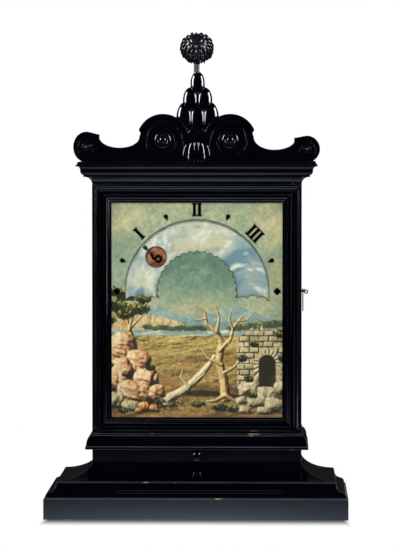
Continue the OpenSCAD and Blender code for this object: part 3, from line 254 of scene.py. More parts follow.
def old_metal(name, clean, tarnish, rough, blotch=60.0, scratch=0.0):
    """A metal with patches of tarnish and fine scratches along Z, deeper on filed work."""
    material, tree, shader = new_material(name, Metallic=1.0)
    place = add(tree, "ShaderNodeTexCoord").outputs["Object"]
    patch = add(
        tree, "ShaderNodeTexNoise", {"Vector": place, "Scale": blotch, "Detail": 5.0, "Roughness": 0.6}
    ).outputs[0]
    colour = add(tree, "ShaderNodeValToRGB", {0: patch}, [(0.35, clean), (0.72, tarnish)]).outputs[0]
    uneven = add(
        tree, "ShaderNodeMapRange", {0: patch, 1: 0.3, 2: 0.75, 3: rough, 4: rough + TARNISH_DULLS}
    ).outputs[0]
    lines = add(tree, "ShaderNodeMapping", {"Vector": place, "Scale": (2500, 2500, 120)}).outputs[0]
    grit = add(tree, "ShaderNodeTexNoise", {"Vector": lines, "Scale": 1.0, "Detail": 2.0}).outputs[0]
    finish_surface(tree, shader, colour, grit, 0.1 + scratch, 0.1 * MM, uneven)
    return material


BRASS = old_metal("aged_brass", "#c9a45c", "#8a6a35", 0.24)
COPPER = old_metal("old_copper", "#9a5f3a", "#4d2f20", 0.36)
HOOK_BRASS = old_metal("handled_brass", "#75643c", "#2e2614", 0.42, 300.0)
STEEL = old_metal("filed_steel", "#a9abad", "#77736c", 0.28, 90.0, 0.15)
BLUED = old_metal("blued_spring_steel", "#3a4a6b", "#2a2c3a", 0.26, 120.0)
TIN = old_metal("tinplate", "#c4c6c3", "#8c8a83", 0.36, 40.0)


# %% Cotton for the wick
def plaited_cotton():
    """Plaited lamp wick, with threads about a millimetre apart."""
    material, tree, shader = new_material("plaited_cotton", Roughness=0.9)
    place = add(tree, "ShaderNodeTexCoord").outputs["Object"]
    thread = add(
        tree, "ShaderNodeTexWave", {"Vector": place, "Scale": 320.0, "Distortion": 2.0}
    ).outputs["Fac"]
    yarn = [(0.2, "#8d7f68"), (0.8, "#e6dcc6")]
    colour = add(tree, "ShaderNodeValToRGB", {0: thread}, yarn).outputs[0]
    finish_surface(tree, shader, colour, thread, 0.5, 0.4 * MM)
    return material


COTTON = plaited_cotton()
print("metals and cotton ready")

# %% [markdown]
# ## Easing the arrises
# A construction model has knife edges. Real mouldings are scraped and polished, so each arris is eased
# by a few tenths of a millimetre, and that is what catches the light. Each wooden node is copied, its
# loose triangles are merged back into whole faces, its sharp edges get a small bevel, and the result
# stands in for the node at exactly the same place.

# %% A function that eases the edges of a node
EASE = 0.45 * MM
SMOOTH_BELOW = math.radians(32)
ARRIS_FROM = math.radians(34)
FLAT_WITHIN = math.radians(0.4)
MERGE = 0.002 * MM


def plain_mesh(name, mesh, materials):
    """An object at the origin that holds a finished mesh."""
    piece = bpy.data.objects.new(name, mesh)
    scene.collection.objects.link(piece)
    mesh.materials.clear()
    for material in materials:
        mesh.materials.append(material)
    return piece


def merged_copy(node):
    """The node's mesh with its triangles joined into whole faces."""
    mesh = nodes[node].data.copy()
    work = bmesh.new()
    work.from_mesh(mesh)
    bmesh.ops.remove_doubles(work, verts=work.verts, dist=MERGE)
    bmesh.ops.dissolve_limit(
        work, angle_limit=FLAT_WITHIN, verts=work.verts, edges=work.edges, delimit={"NORMAL"}
    )
    work.to_mesh(mesh)
    work.free()
    return mesh


def bake_modifiers(piece):
    """Turns the evaluated shape into a plain mesh."""
    bpy.context.view_layer.update()
    evaluated = piece.evaluated_get(bpy.context.evaluated_depsgraph_get())
    mesh = bpy.data.meshes.new_from_object(evaluated)
    piece.modifiers.clear()
    piece.data = mesh
    return piece


def smooth(mesh, angle=SMOOTH_BELOW):
    """Smooth shading that breaks at sharp edges."""
    mesh.polygons.foreach_set("use_smooth", [True] * len(mesh.polygons))
    mesh.set_sharp_from_angle(angle=angle)


def stand_in(piece, node):
    """Lets a finished piece take a CAD node's place and body."""
    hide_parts(node)
    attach(piece, body_of[node])
    return piece


def ease(node, material, arris):
    """A softened stand-in for a CAD node, on the same body; its arrises have their own finish."""
    piece = plain_mesh(node + "_finished", merged_copy(node), [material, arris])
    smooth(piece.data)
    bevel = piece.modifiers.new("arris", "BEVEL")
    bevel.width = EASE
    bevel.segments = 2
    bevel.limit_method = "ANGLE"
    bevel.angle_limit = ARRIS_FROM
    bevel.use_clamp_overlap = True
    bevel.material = 1
    # Keeps the flat faces flat: without it their shading bends towards the eased edges
    bevel.harden_normals = True
    bake_modifiers(piece)
    return stand_in(piece, node)


# %% Dress the woodwork
GRAIN = {
    "X": [
        "plinth", "base_moulding", "pedestal_core", "pedestal_moulding", "waist_moulding", "cornice",
        "door_top_rail", "door_bottom_rail", "case_top",
    ],
    "Z": ["door_left_stile", "door_right_stile", "pedestal_boss", "finial_stem"],
}
for grain, names in GRAIN.items():
    for name in names:
        piece = ease(name, PEAR[grain], ARRIS[grain])
        print(piece.name, len(piece.data.polygons), "faces")
for name in ("case_left_side", "case_right_side"):
    ease(name, SIDE_BOARD, ARRIS["Z"])
# Nobody polishes carving as hard as a moulding, so its edges stay dull
ease("pediment", PEAR["X"], CARVED)
ease("roundels", PEAR["X"], CARVED)
# The rear edge of the floor shows below the rear door, so it was stained with the case
case_floor = ease("case_floor", PINE, PINE)
case_floor.data.materials.append(PEAR["X"])
for face in case_floor.data.polygons:
    if face.normal.y > 0.9:
        face.material_index = 2

# %% [markdown]
# ## The carved flower
# The finial is a round flower: dozens of narrow petals lie on a ball, row behind row, and all of them
# spread from a crown that leans to the front. Modelling each petal by hand would take a day and would
# look too even. Geometry Nodes follow the rule instead: each row is a circle of points, a petal stands
# on every point, and a fixed seed gives each petal its own small error, as the carver's knife did.

# %% Geometry Nodes helpers
def carving_tree(name, sizes):
    """A new node tree with one named number input for each size."""
    tree = bpy.data.node_groups.new(name, "GeometryNodeTree")
    tree.interface.new_socket("Geometry", in_out="INPUT", socket_type="NodeSocketGeometry")
    for size, value in sizes.items():
        kind = "NodeSocketInt" if isinstance(value, int) else "NodeSocketFloat"
        tree.interface.new_socket(size, in_out="INPUT", socket_type=kind).default_value = value
    tree.interface.new_socket("Geometry", in_out="OUTPUT", socket_type="NodeSocketGeometry")
    return tree, tree.nodes.new("NodeGroupInput").outputs


def grow(tree, name, material, geometry_out, sizes):
    """Ends a tree, runs it on an empty mesh and returns the plain object that it made."""
    solid = add(tree, "GeometryNodeRealizeInstances", {0: geometry_out}).outputs[0]
    dressed = add(tree, "GeometryNodeSetMaterial", {"Geometry": solid, "Material": material}).outputs[0]
    tree.links.new(dressed, tree.nodes.new("NodeGroupOutput").inputs[0])
    piece = bpy.data.objects.new(name, bpy.data.meshes.new(name))
    scene.collection.objects.link(piece)
    modifier = piece.modifiers.new(name, "NODES")
    modifier.node_group = tree
    for socket in tree.interface.items_tree:
        if socket.in_out == "INPUT" and socket.name in sizes:
            modifier[socket.identifier] = sizes[socket.name]
    return bake_modifiers(piece)


# %% One petal
def petal_mesh(name, curl, stations=9):
    """A petal one unit long with a keel along its back; it starts at the origin and points to +X."""
    section = ((-0.5, 0), (-0.36, 0.24), (0, 0.38), (0.36, 0.24), (0.5, 0), (0, -0.3))
    points = [(0, 0, 0)]
    for i in range(1, stations):
        t = i / stations
        wide = math.sin(math.pi * t**0.8) ** 0.7
        bend = curl * t * t
        points += [(t, y * wide, z * wide + bend) for y, z in section]
    points.append((1, 0, curl))
    last = len(points) - 1
    around = len(section)
    faces = []
    for k in range(around):
        n = (k + 1) % around
        faces.append((0, 1 + k, 1 + n))
        faces.append((last, last - around + n, last - around + k))
        for i in range(stations - 2):
            a, b = 1 + i * around, 1 + (i + 1) * around
            faces.append((a + k, b + k, b + n, a + n))
    work = bmesh.new()
    verts = [work.verts.new(p) for p in points]
    for face in faces:
        work.faces.new([verts[i] for i in face])
    bmesh.ops.recalc_face_normals(work, faces=work.faces)
    mesh = bpy.data.meshes.new(name)
    work.to_mesh(mesh)
    work.free()
    return plain_mesh(name, mesh, [])


petal = petal_mesh("petal", -1.4)
lobe = petal_mesh("leaf_lobe", 0.35)
print("one petal:", len(petal.data.polygons), "faces")

# %% Rows of the flower
BALL_LOW, BALL_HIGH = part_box("finial_ball")
BALL_R = (BALL_HIGH[0] - BALL_LOW[0]) / 2
BALL_CENTRE = (BALL_LOW + BALL_HIGH) / 2
CROWN_TILT = math.radians(54)
# The core under the petals as a share of the ball, and how far the whole flower is flattened
CORE = 0.86
FLOWER_FLAT = 0.94
# The button's width as a share of the ball's, and its height as a share of the core's
BUTTON = 0.4
BUTTON_HIGH = 0.17
# Each row: its angle from the crown in degrees, its number of petals, and their length and lift
ROWS = (
    (22, 12, 0.6, 6), (44, 18, 0.8, 10), (66, 22, 0.84, 11), (88, 24, 0.86, 12), (110, 22, 0.82, 13),
    (130, 17, 0.66, 14), (145, 12, 0.5, 15),
)
# As shares of the ball's radius
PETAL_WIDE = 0.18
PETAL_THICK = 1.4 * PETAL_WIDE
# How far a petal may point astray, in radians
UNEVENNESS = 0.1
PETAL_SMOOTH = math.radians(80)


def petal_row(tree, given, source, row):
    """One circle of petals round the crown; returns its geometry."""
    angle, count, length, lift = ROWS[row]
    down = math.radians(angle)
    reach = add(tree, "ShaderNodeMath", {0: given["Radius"], 1: CORE}, operation="MULTIPLY").outputs[0]
    wide = add(tree, "ShaderNodeMath", {0: reach, 1: math.sin(down)}, operation="MULTIPLY").outputs[0]
    high = add(tree, "ShaderNodeMath", {0: reach, 1: math.cos(down)}, operation="MULTIPLY").outputs[0]
    ring = add(tree, "GeometryNodeMeshCircle", {"Vertices": count, "Radius": wide}).outputs[0]
    rise = add(tree, "ShaderNodeCombineXYZ", {"Z": high}).outputs[0]
    points = add(tree, "GeometryNodeSetPosition", {"Geometry": ring, "Offset": rise}).outputs[0]
    index = add(tree, "GeometryNodeInputIndex").outputs[0]
    pitch = 2 * math.pi / count
    turn = add(tree, "ShaderNodeMath", {0: index, 1: pitch}, operation="MULTIPLY").outputs[0]
    error = add(
        tree,
        "FunctionNodeRandomValue",
        {"Min": (-1, -1, -1), "Max": (1, 1, 1), "ID": index, "Seed": given["Seed"]},
        data_type="FLOAT_VECTOR",
    ).outputs["Value"]
    error = add(
        tree, "ShaderNodeVectorMath", {0: error, "Scale": given["Unevenness"]}, operation="SCALE"
    ).outputs[0]
    heading = add(tree, "ShaderNodeCombineXYZ", {"Y": down - math.radians(lift), "Z": turn}).outputs[0]
    pose = add(tree, "ShaderNodeVectorMath", {0: heading, 1: error}, operation="ADD").outputs[0]
    size = add(
        tree,
        "ShaderNodeVectorMath",
        {0: (length, PETAL_WIDE, PETAL_THICK), "Scale": given["Radius"]},
        operation="SCALE",
    ).outputs[0]
    petals = add(
        tree,
        "GeometryNodeInstanceOnPoints",
        {"Points": points, "Instance": source, "Rotation": pose, "Scale": size},
    ).outputs[0]
    # Every other row is turned by half a pitch, so that its petals fill the gaps
    return add(
        tree, "GeometryNodeTransform", {"Geometry": petals, "Rotation": (0, 0, row % 2 * pitch / 2)}
    ).outputs[0]


# %% Grow the flower
def flower():
    """The whole flower as one object: petals, the core under them and the button at the crown."""
    sizes = {"Radius": BALL_R, "Unevenness": UNEVENNESS, "Seed": 5}
    tree, given = carving_tree("finial_petals", sizes)
    source = add(tree, "GeometryNodeObjectInfo", {"Object": petal}).outputs["Geometry"]
    joined = add(tree, "GeometryNodeJoinGeometry")
    for row in range(len(ROWS)):
        tree.links.new(petal_row(tree, given, source, row), joined.inputs[0])
    core_r = add(tree, "ShaderNodeMath", {0: given["Radius"], 1: CORE}, operation="MULTIPLY").outputs[0]
    ball = {"Segments": 40, "Rings": 24, "Radius": core_r}
    tree.links.new(add(tree, "GeometryNodeMeshUVSphere", ball).outputs[0], joined.inputs[0])
    crown = add(tree, "ShaderNodeCombineXYZ", {"Z": core_r}).outputs[0]
    button = add(tree, "GeometryNodeMeshUVSphere", ball).outputs[0]
    button = add(
        tree,
        "GeometryNodeTransform",
        {
            "Geometry": button,
            "Translation": crown,
            "Scale": (BUTTON / CORE, BUTTON / CORE, BUTTON_HIGH),
        },
    ).outputs[0]
    tree.links.new(button, joined.inputs[0])
    leaned = add(
        tree,
        "GeometryNodeTransform",
        {"Geometry": joined.outputs[0], "Rotation": (CROWN_TILT, 0, 0)},
    ).outputs[0]
    placed = add(
        tree,
        "GeometryNodeTransform",
        {"Geometry": leaned, "Translation": BALL_CENTRE, "Scale": (1, 1, FLOWER_FLAT)},
    ).outputs[0]
    return grow(tree, "finial_flower", CARVED, placed, sizes)


finial_flower = flower()
smooth(finial_flower.data, PETAL_SMOOTH)
stand_in(finial_flower, "finial_ball")
print("flower:", sum(row[1] for row in ROWS), "petals,", len(finial_flower.data.polygons), "faces")

# %% [markdown]
# ## The mount of buds
# Under the flower, six buds stand in a pyramid, three, two and one. They are fat and run deep into each
# other, so two neighbours meet at a shallow valley where both catch the light and draw a bright Y. The
# construction model keeps them slim and nearly apart, because that is easier to build; here they get
# their full girth, in nearly the same outline.

# %% Stand the buds in their rows
MOUNT_LOW, MOUNT_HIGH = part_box("finial_mount")
MOUNT_Y = (MOUNT_LOW.y + MOUNT_HIGH.y) / 2
# Each row: buds, their radius and pitch, how far their domes lie below the mount's top, and length
BUD_ROWS = (
    (1, 8.9 * MM, 0.0, -2.4 * MM, 30 * MM),
    (2, 9.8 * MM, 17.0 * MM, 17.4 * MM, 32 * MM),
    (3, 10.6 * MM, 16.0 * MM, 36.0 * MM, 42 * MM),
)
BUD_FLAT = 0.8
CARVING_SMOOTH = math.radians(60)
# The mount was glued on a little off the middle
MOUNT_SHIFT = 1.2 * MM


def bud_mesh(around=32, rings=9):
    """A bud of radius one and length one, with its dome's top at the origin."""
    foot = [(0.45, -1.0), (0.82, -0.93), (0.97, -0.8), (1.0, -0.62)]
    climbs = [math.pi / 2 * k / rings for k in range(rings)]
    dome = [(math.cos(a), -0.5 + 0.5 * math.sin(a)) for a in climbs]
    turns = [2 * math.pi * i / around for i in range(around)]
    work = bmesh.new()
    loops = [
        [work.verts.new((r * math.cos(turn), r * math.sin(turn), z)) for turn in turns]
        for r, z in foot + dome
    ]
    for lower, upper in zip(loops, loops[1:]):
        for i in range(around):
            j = (i + 1) % around
            work.faces.new((lower[i], lower[j], upper[j], upper[i]))
    for ring, z in ((loops[0], -1.0), (loops[-1], 0.0)):
        pole = work.verts.new((0, 0, z))
        for i in range(around):
            work.faces.new((ring[i], ring[(i + 1) % around], pole))
    bmesh.ops.recalc_face_normals(work, faces=work.faces)
    mesh = bpy.data.meshes.new("bud")
    work.to_mesh(mesh)
    work.free()
    return plain_mesh("bud", mesh, [])


def budded_mount():
    """All six buds as one object."""
    sizes = {"Flatness": BUD_FLAT}
    tree, given = carving_tree("mount_of_buds", sizes)
    source = add(tree, "GeometryNodeObjectInfo", {"Object": bud}).outputs["Geometry"]
    joined = add(tree, "GeometryNodeJoinGeometry")
    middle = (MOUNT_LOW.x + MOUNT_HIGH.x) / 2 + MOUNT_SHIFT
    for count, radius, pitch, below, length in BUD_ROWS:
        start = (middle - pitch * (count - 1) / 2, MOUNT_Y, MOUNT_HIGH.z - below)
        row = add(
            tree,
            "GeometryNodeMeshLine",
            {"Count": count, "Start Location": start, "Offset": (pitch, 0, 0)},
        ).outputs[0]
        deep = add(
            tree, "ShaderNodeMath", {0: given["Flatness"], 1: radius}, operation="MULTIPLY"
        ).outputs[0]
        size = add(tree, "ShaderNodeCombineXYZ", {"X": radius, "Y": deep, "Z": length}).outputs[0]
        buds = add(
            tree, "GeometryNodeInstanceOnPoints", {"Points": row, "Instance": source, "Scale": size}
        ).outputs[0]
        tree.links.new(buds, joined.inputs[0])
    return grow(tree, "finial_mount_carved", PEAR["Z"], joined.outputs[0], sizes)


bud = bud_mesh()
mount = stand_in(budded_mount(), "finial_mount")
smooth(mount.data, CARVING_SMOOTH)
bpy.data.objects.remove(bud)
print("mount:", len(mount.data.polygons), "faces")

# %% [markdown]
# ## The keystone leaf
# Between the two humps hangs an acanthus leaf, carved from its own block and glued on. Its lobes start
# close together at the top, spread as they fall, and their tips curl out from the board; shorter lobes
# fill the foot. It is the same petal form again, larger and curled the other way, set in three fans.

# %% Hang the leaf's lobes
LEAF_LOW, LEAF_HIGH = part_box("keystone_leaf")
LEAF_DEPTH = LEAF_HIGH.y - LEAF_LOW.y
LEAF_TALL = LEAF_HIGH.z - LEAF_LOW.z
LOBE_THICK = 0.55 * LEAF_DEPTH
BLOCK_HALF = (10 * MM, 0.45 * LEAF_DEPTH, 0.48 * LEAF_TALL)
# Each fan: lobes, half its width at the roots, spread in degrees, root height as a share of the leaf's,
# lobe length as a share of it, lobe width, and how far it stands off the board as a share of the depth
FANS = (
    (4, 7.4 * MM, 23, 0.92, 0.78, 8.6 * MM, 0.36),
    (3, 4.2 * MM, 12, 0.97, 0.8, 6.4 * MM, 0.5),
    (5, 7.0 * MM, 8, 0.5, 0.5, 5.0 * MM, 0.12),
)


def fan_of_lobes(tree, given, source, fan):
    """Lobes in a row that spread as they fall."""
    count, half_width, spread, root, length, width, off = fan
    line = add(
        tree,
        "GeometryNodeMeshLine",
        {
            "Count": count,
            "Start Location": (-half_width, 0, 0),
            "Offset": (2 * half_width / (count - 1), 0, 0),
        },
    ).outputs[0]
    index = add(tree, "GeometryNodeInputIndex").outputs[0]
    lean = math.radians(spread)
    turn = add(
        tree,
        "ShaderNodeMapRange",
        {0: index, 1: 0.0, 2: count - 1.0, 3: math.pi / 2 + lean, 4: math.pi / 2 - lean},
    ).outputs[0]
    pose = add(tree, "ShaderNodeCombineXYZ", {"X": math.pi / 2, "Y": turn}).outputs[0]
    long = add(tree, "ShaderNodeMath", {0: given["Height"], 1: length}, operation="MULTIPLY").outputs[0]
    size = add(tree, "ShaderNodeCombineXYZ", {"X": long, "Y": width, "Z": LOBE_THICK}).outputs[0]
    lobes = add(
        tree,
        "GeometryNodeInstanceOnPoints",
        {"Points": line, "Instance": source, "Rotation": pose, "Scale": size},
    ).outputs[0]
    out = add(tree, "ShaderNodeMath", {0: given["Depth"], 1: -off}, operation="MULTIPLY").outputs[0]
    up = add(tree, "ShaderNodeMath", {0: given["Height"], 1: root}, operation="MULTIPLY").outputs[0]
    lift = add(tree, "ShaderNodeCombineXYZ", {"Y": out, "Z": up}).outputs[0]
    return add(tree, "GeometryNodeTransform", {"Geometry": lobes, "Translation": lift}).outputs[0]


def leaf():
    """The leaf as one object: its fans and the block that they are cut from."""
    sizes = {"Depth": LEAF_DEPTH, "Height": LEAF_TALL}
    tree, given = carving_tree("keystone_lobes", sizes)
    source = add(tree, "GeometryNodeObjectInfo", {"Object": lobe}).outputs["Geometry"]
    joined = add(tree, "GeometryNodeJoinGeometry")
    for fan in FANS:
        tree.links.new(fan_of_lobes(tree, given, source, fan), joined.inputs[0])
    ball = {"Segments": 40, "Rings": 20, "Radius": 1.0}
    block = add(tree, "GeometryNodeMeshUVSphere", ball).outputs[0]
    block = add(
        tree,
        "GeometryNodeTransform",
        {
            "Geometry": block,
            "Translation": (0, 0, 0.5 * LEAF_TALL),
            "Scale": BLOCK_HALF,
        },
    ).outputs[0]
    tree.links.new(block, joined.inputs[0])
    foot = ((LEAF_LOW.x + LEAF_HIGH.x) / 2, LEAF_HIGH.y, LEAF_LOW.z)
    placed = add(
        tree, "GeometryNodeTransform", {"Geometry": joined.outputs[0], "Translation": foot}
    ).outputs[0]
    return grow(tree, "keystone_leaf_carved", PEAR["Z"], placed, sizes)


keystone = leaf()
for source in (petal, lobe):
    bpy.data.objects.remove(source)
smooth(keystone.data, CARVING_SMOOTH)
stand_in(keystone, "keystone_leaf")
print("leaf:", sum(fan[0] for fan in FANS), "lobes,", len(keystone.data.polygons), "faces")

# %% [markdown]
# ## Painting on copper
# The mask and the disc behind it are thin copper sheets with an oil painting. A painter lays a sky, then
# hills, water, ground, rocks and trees over it. The same is done here: a canvas of numbers, one layer
# after another, with seeded noise for the clouds, a height for each solid form and a loop of dabs for
# leaves and grass. The canvas becomes a colour stored on the points of a finely divided sheet, so the
# paint follows the sheet and leaves with it.


# %% Noise and dabs for the painter
def lattice_noise(x, y, seed):
    """Smooth noise from 0 to 1 on a square lattice."""
    grid = np.random.RandomState(seed).rand(64, 64)
    xi, yi = np.floor(x).astype(int), np.floor(y).astype(int)
    xf, yf = x - xi, y - yi
    xf, yf = xf * xf * (3 - 2 * xf), yf * yf * (3 - 2 * yf)
    a, b = grid[yi % 64, xi % 64], grid[yi % 64, (xi + 1) % 64]
    c, d = grid[(yi + 1) % 64, xi % 64], grid[(yi + 1) % 64, (xi + 1) % 64]
    return (a * (1 - xf) + b * xf) * (1 - yf) + (c * (1 - xf) + d * xf) * yf


def clouds(x, y, size, seed, octaves=5):
    """Layered noise; size is the width of the largest patch in millimetres."""
    total, weight, share = 0, 0, 1
    for k in range(octaves):
        total = total + share * lattice_noise(x / size * 2**k, y / size * 2**k, seed + k)
        weight += share
        share *= 0.55
    return total / weight


def srgb(hex_colour):
    """An sRGB hex colour as an array from 0 to 1."""
    return np.array([int(hex_colour[i:i + 2], 16) / 255 for i in (1, 3, 5)])


def mix(a, b, t):
    """Between two hex colours."""
    return srgb(a) * (1 - t) + srgb(b) * t


# The light falls from the upper left, towards the picture: to the right, up, and out of the picture
LIGHT = (-0.62, 0.55, 0.56)


class Canvas:
    """A painting in progress: x and z in millimetres, colours in sRGB."""

    def __init__(self, x0, x1, z0, z1, step):
        self.x0, self.z0, self.step = x0, z0, step
        self.x, self.z = np.meshgrid(np.arange(x0, x1 + step, step), np.arange(z0, z1 + step, step))
        self.paint = np.zeros(self.x.shape + (3,))

    def part(self, x, z, reach):
        """The canvas round one place; what is laid on it is laid on the whole."""
        piece = Canvas.__new__(Canvas)
        rows, columns = self.x.shape
        span = np.array([-reach, reach])
        i0, i1 = np.clip((x + span - self.x0) / self.step, 0, columns - 3).astype(int)
        j0, j1 = np.clip((z + span - self.z0) / self.step, 0, rows - 3).astype(int)
        here = slice(j0, j1 + 3), slice(i0, i1 + 3)
        piece.x0, piece.z0, piece.step = self.x[0, i0], self.z[j0, 0], self.step
        piece.x, piece.z, piece.paint = self.x[here], self.z[here], self.paint[here]
        return piece

    def lay(self, mask, colour):
        """Covers the canvas where mask is 1."""
        colour = srgb(colour) if isinstance(colour, str) else colour
        mask = np.clip(mask, 0, 1)[..., None]
        self.paint[...] = self.paint * (1 - mask) + colour * mask

    def model(self, mask, height, tones):
        """Paints a form from its height in millimetres; the tones run from shade to light."""
        up, right = np.gradient(height, self.step)
        lit = (LIGHT[2] - right * LIGHT[0] - up * LIGHT[1]) / np.sqrt(right**2 + up**2 + 1)
        place = np.clip(lit, 0, 0.999) * (len(tones) - 1)
        below = place.astype(int)
        colours = np.array([srgb(t) for t in tones])
        share = (place - below)[..., None]
        self.lay(mask, colours[below] * (1 - share) + colours[below + 1] * share)

    def dab(self, x, z, rx, rz, turn, colour, strength=1.0):
        """One touch of the brush: an ellipse with a crisp edge."""
        piece = self.part(x, z, max(rx, rz) * 1.2)
        dx, dz = piece.x - x, piece.z - z
        u = (dx * math.cos(turn) + dz * math.sin(turn)) / rx
        v = (-dx * math.sin(turn) + dz * math.cos(turn)) / rz
        piece.lay(np.clip((1.1 - np.hypot(u, v)) / 0.2, 0, 1) * strength, colour)

    def sample(self, x, z):
        """The colour at points, between the canvas's own."""
        u = np.clip((x - self.x0) / self.step, 0, self.x.shape[1] - 1.001)
        v = np.clip((z - self.z0) / self.step, 0, self.x.shape[0] - 1.001)
        i, j = u.astype(int), v.astype(int)
        f, g = (u - i)[:, None], (v - j)[:, None]
        low = self.paint[j, i] * (1 - f) + self.paint[j, i + 1] * f
        high = self.paint[j + 1, i] * (1 - f) + self.paint[j + 1, i + 1] * f
        return low * (1 - g) + high * g


# %% [markdown]
# ## What the painter paints
# Solid forms are painted from a height: the slope of the height against the light picks a tone from
# shade to light, as a painter models a stone or a bough. Leaves and grass are single touches.

# %% Rocks, limbs, leaves and stonework
RNG = np.random.RandomState(7)
SANDSTONE = ("#3a2416", "#8a5c38", "#cc9c6c", "#eacaa0", "#f8e8c6")
LIMESTONE = ("#332d20", "#857a5c", "#b8ab86", "#dbcfaa", "#f3ead0")
BLEACHED = ("#2a1c10", "#6b4f2c", "#b5955c", "#dcc389", "#f1e2b4")
PUMPKIN = ("#3c1a08", "#8a4414", "#cf8230", "#eeb257", "#fbe0a0")


def rock(c, x, z, rx, rz, tones, seed, turn=0.0, square=2.6, strata=0.0):
    """A weathered rock: a lumpy dome with planes, cracks and, in sandstone, layers."""
    p = c.part(x, z, max(rx, rz) * 1.4)
    size = min(rx, rz)
    dx, dz = p.x - x, p.z - z
    u = (dx * math.cos(turn) + dz * math.sin(turn)) / rx + 0.5 * (clouds(p.x, p.z, rx, seed) - 0.5)
    v = (-dx * math.sin(turn) + dz * math.cos(turn)) / rz + 0.5 * (clouds(p.x, p.z, rz, seed + 9) - 0.5)
    r = (np.abs(u) ** square + np.abs(v) ** square) ** (1 / square)
    planes = np.abs(clouds(p.x, p.z * 0.8, size * 1.3, seed + 20, 3) - 0.5)
    height = size * (0.9 * np.sqrt(np.clip(1 - r * r, 0, 1)) + 0.8 * planes)
    height = height + 0.5 * clouds(p.x, p.z, 4.0, seed + 30)
    layer = dz + 0.3 * dx + 14 * clouds(p.x, p.z, 22, seed)
    height = height + strata * np.abs(np.sin(layer * 0.5)) ** 3
    p.model(np.clip((1 - r) * size / 0.8, 0, 1), height, tones)
    crack = np.abs(clouds(p.x, p.z, size * 0.9, seed + 50) - 0.5)
    p.lay(np.clip(1 - crack / 0.012, 0, 1) * (r < 0.95) * 0.7, tones[0])


def cast_shadow(c, x, z, rx, rz):
    """The dark under a form, thrown to the lower right."""
    p = c.part(x, z, rx * 1.3)
    r = np.hypot((p.x - x) / rx, (p.z - z) / rz)
    p.lay(np.clip((1.1 - r) / 0.5, 0, 1) * 0.8, "#1f170c")


def limb(c, points, w0, w1, tones, seed):
    """A trunk or branch along a run of points, round, with furrowed bark."""
    xs, zs = np.array(points).T
    reach = max(xs.max() - xs.min(), zs.max() - zs.min()) / 2 + 2 * w0
    p = c.part((xs.max() + xs.min()) / 2, (zs.max() + zs.min()) / 2, reach)
    cover, height = np.zeros(p.x.shape), np.zeros(p.x.shape)
    wobble = 0.5 * w0 * (clouds(p.x, p.z, 9, seed) - 0.5)
    for k, ((xa, za), (xb, zb)) in enumerate(zip(points, points[1:])):
        dx, dz = xb - xa, zb - za
        t = np.clip(((p.x - xa) * dx + (p.z - za) * dz) / (dx * dx + dz * dz), 0, 1)
        off = np.hypot(p.x - xa - t * dx, p.z - za - t * dz) + wobble
        w = w0 + (w1 - w0) * (k + t) / (len(points) - 1)
        cover = np.maximum(cover, np.clip((w - off) / 0.7 + 0.4, 0, 1))
        height = np.maximum(height, np.sqrt(np.clip(w * w - off * off, 0, None)))
    turn = math.atan2(zs[-1] - zs[0], xs[-1] - xs[0])
    along = p.x * math.cos(turn) + p.z * math.sin(turn)
    across = -p.x * math.sin(turn) + p.z * math.cos(turn)
    bark = np.abs(clouds(along * 0.22, across, 3.4, seed + 5, 3) - 0.5)
    p.model(cover, height + min(w0, 4.0) * 0.7 * bark, tones)


def foliage(c, x, z, rx, rz, count, tones, size=1.5):
    """A clump of leaves: a dark mass, then leaves that are lit towards the upper left."""
    p = c.part(x, z, max(rx, rz) * 1.3)
    ragged = 0.6 * (clouds(p.x, p.z, 5, int(x + z) % 97) - 0.5)
    r = np.hypot((p.x - x) / rx, (p.z - z) / rz) + ragged
    p.lay(np.clip((1 - r) * 6, 0, 1) * 0.95, tones[0])
    for k in range(count):
        lit = k / count
        a, r = RNG.rand() * 2 * math.pi, math.sqrt(RNG.rand()) * 1.08
        px = x + rx * (r * math.cos(a) - 0.2 * lit)
        pz = z + rz * (r * math.sin(a) + 0.25 * lit)
        s = size * (0.7 + 0.6 * RNG.rand())
        tone = min(lit * lit * (0.75 + 0.5 * math.sin(a)) * (len(tones) - 1), len(tones) - 1.01)
        tone = max(tone, 0.4 * RNG.rand())
        leaf_colour = mix(tones[int(tone)], tones[int(tone) + 1], tone % 1)
        c.dab(px, pz, s, s * 0.5, RNG.rand() * 3, leaf_colour, 0.9)


LEAVES = ("#161a0e", "#2f3a1c", "#5d6a33", "#96984c", "#c4bb6c")
FAR_LEAVES = ("#3c4a38", "#516044", "#6f7c52", "#8f9763", "#a9ab74")


def masonry(c, mask, course, length, tones, seed):
    """Old squared stones laid in courses, with open joints."""
    row = np.floor(c.z / course).astype(int)
    along = c.x / length + 0.5 * (row % 2) + 0.2 * (clouds(c.x, c.z, 30, seed) - 0.5)
    column = np.floor(along).astype(int)
    fx, fz = along - column, c.z / course - row
    joint = np.minimum(np.minimum(fx, 1 - fx) * length, np.minimum(fz, 1 - fz) * course)
    stone = lattice_noise(row * 7.3, column * 5.7, seed + 3)
    height = 1.6 * np.clip(joint / 1.1, 0, 1) + 1.3 * clouds(c.x, c.z, 5, seed + 6)
    height = height + 0.25 * (stone - 0.5) * (c.x - c.z)
    c.model(mask, height, tones)
    c.lay(mask * (joint < 0.35) * 0.8, tones[0])
    c.lay(mask * np.clip((clouds(c.x, c.z, 14, seed + 8) - 0.56) * 8, 0, 1) * 0.5, "#5b5a33")


# %% [markdown]
# ## The landscape on the mask
# A dry valley, built from back to front: a green-blue sky with cream clouds, far blue mountains, a
# cliffed headland over a lake, ochre ground, a warm sandstone crag with a tree and pumpkins at its foot,
# a dead tree and its fallen neighbour, and a broken wall with an arch.

# %% Paint the valley
MASK_LOW, MASK_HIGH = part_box("dial_mask")
SKY_LOW, SKY_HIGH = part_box("sky_disc")
DIAL_X = 0.0
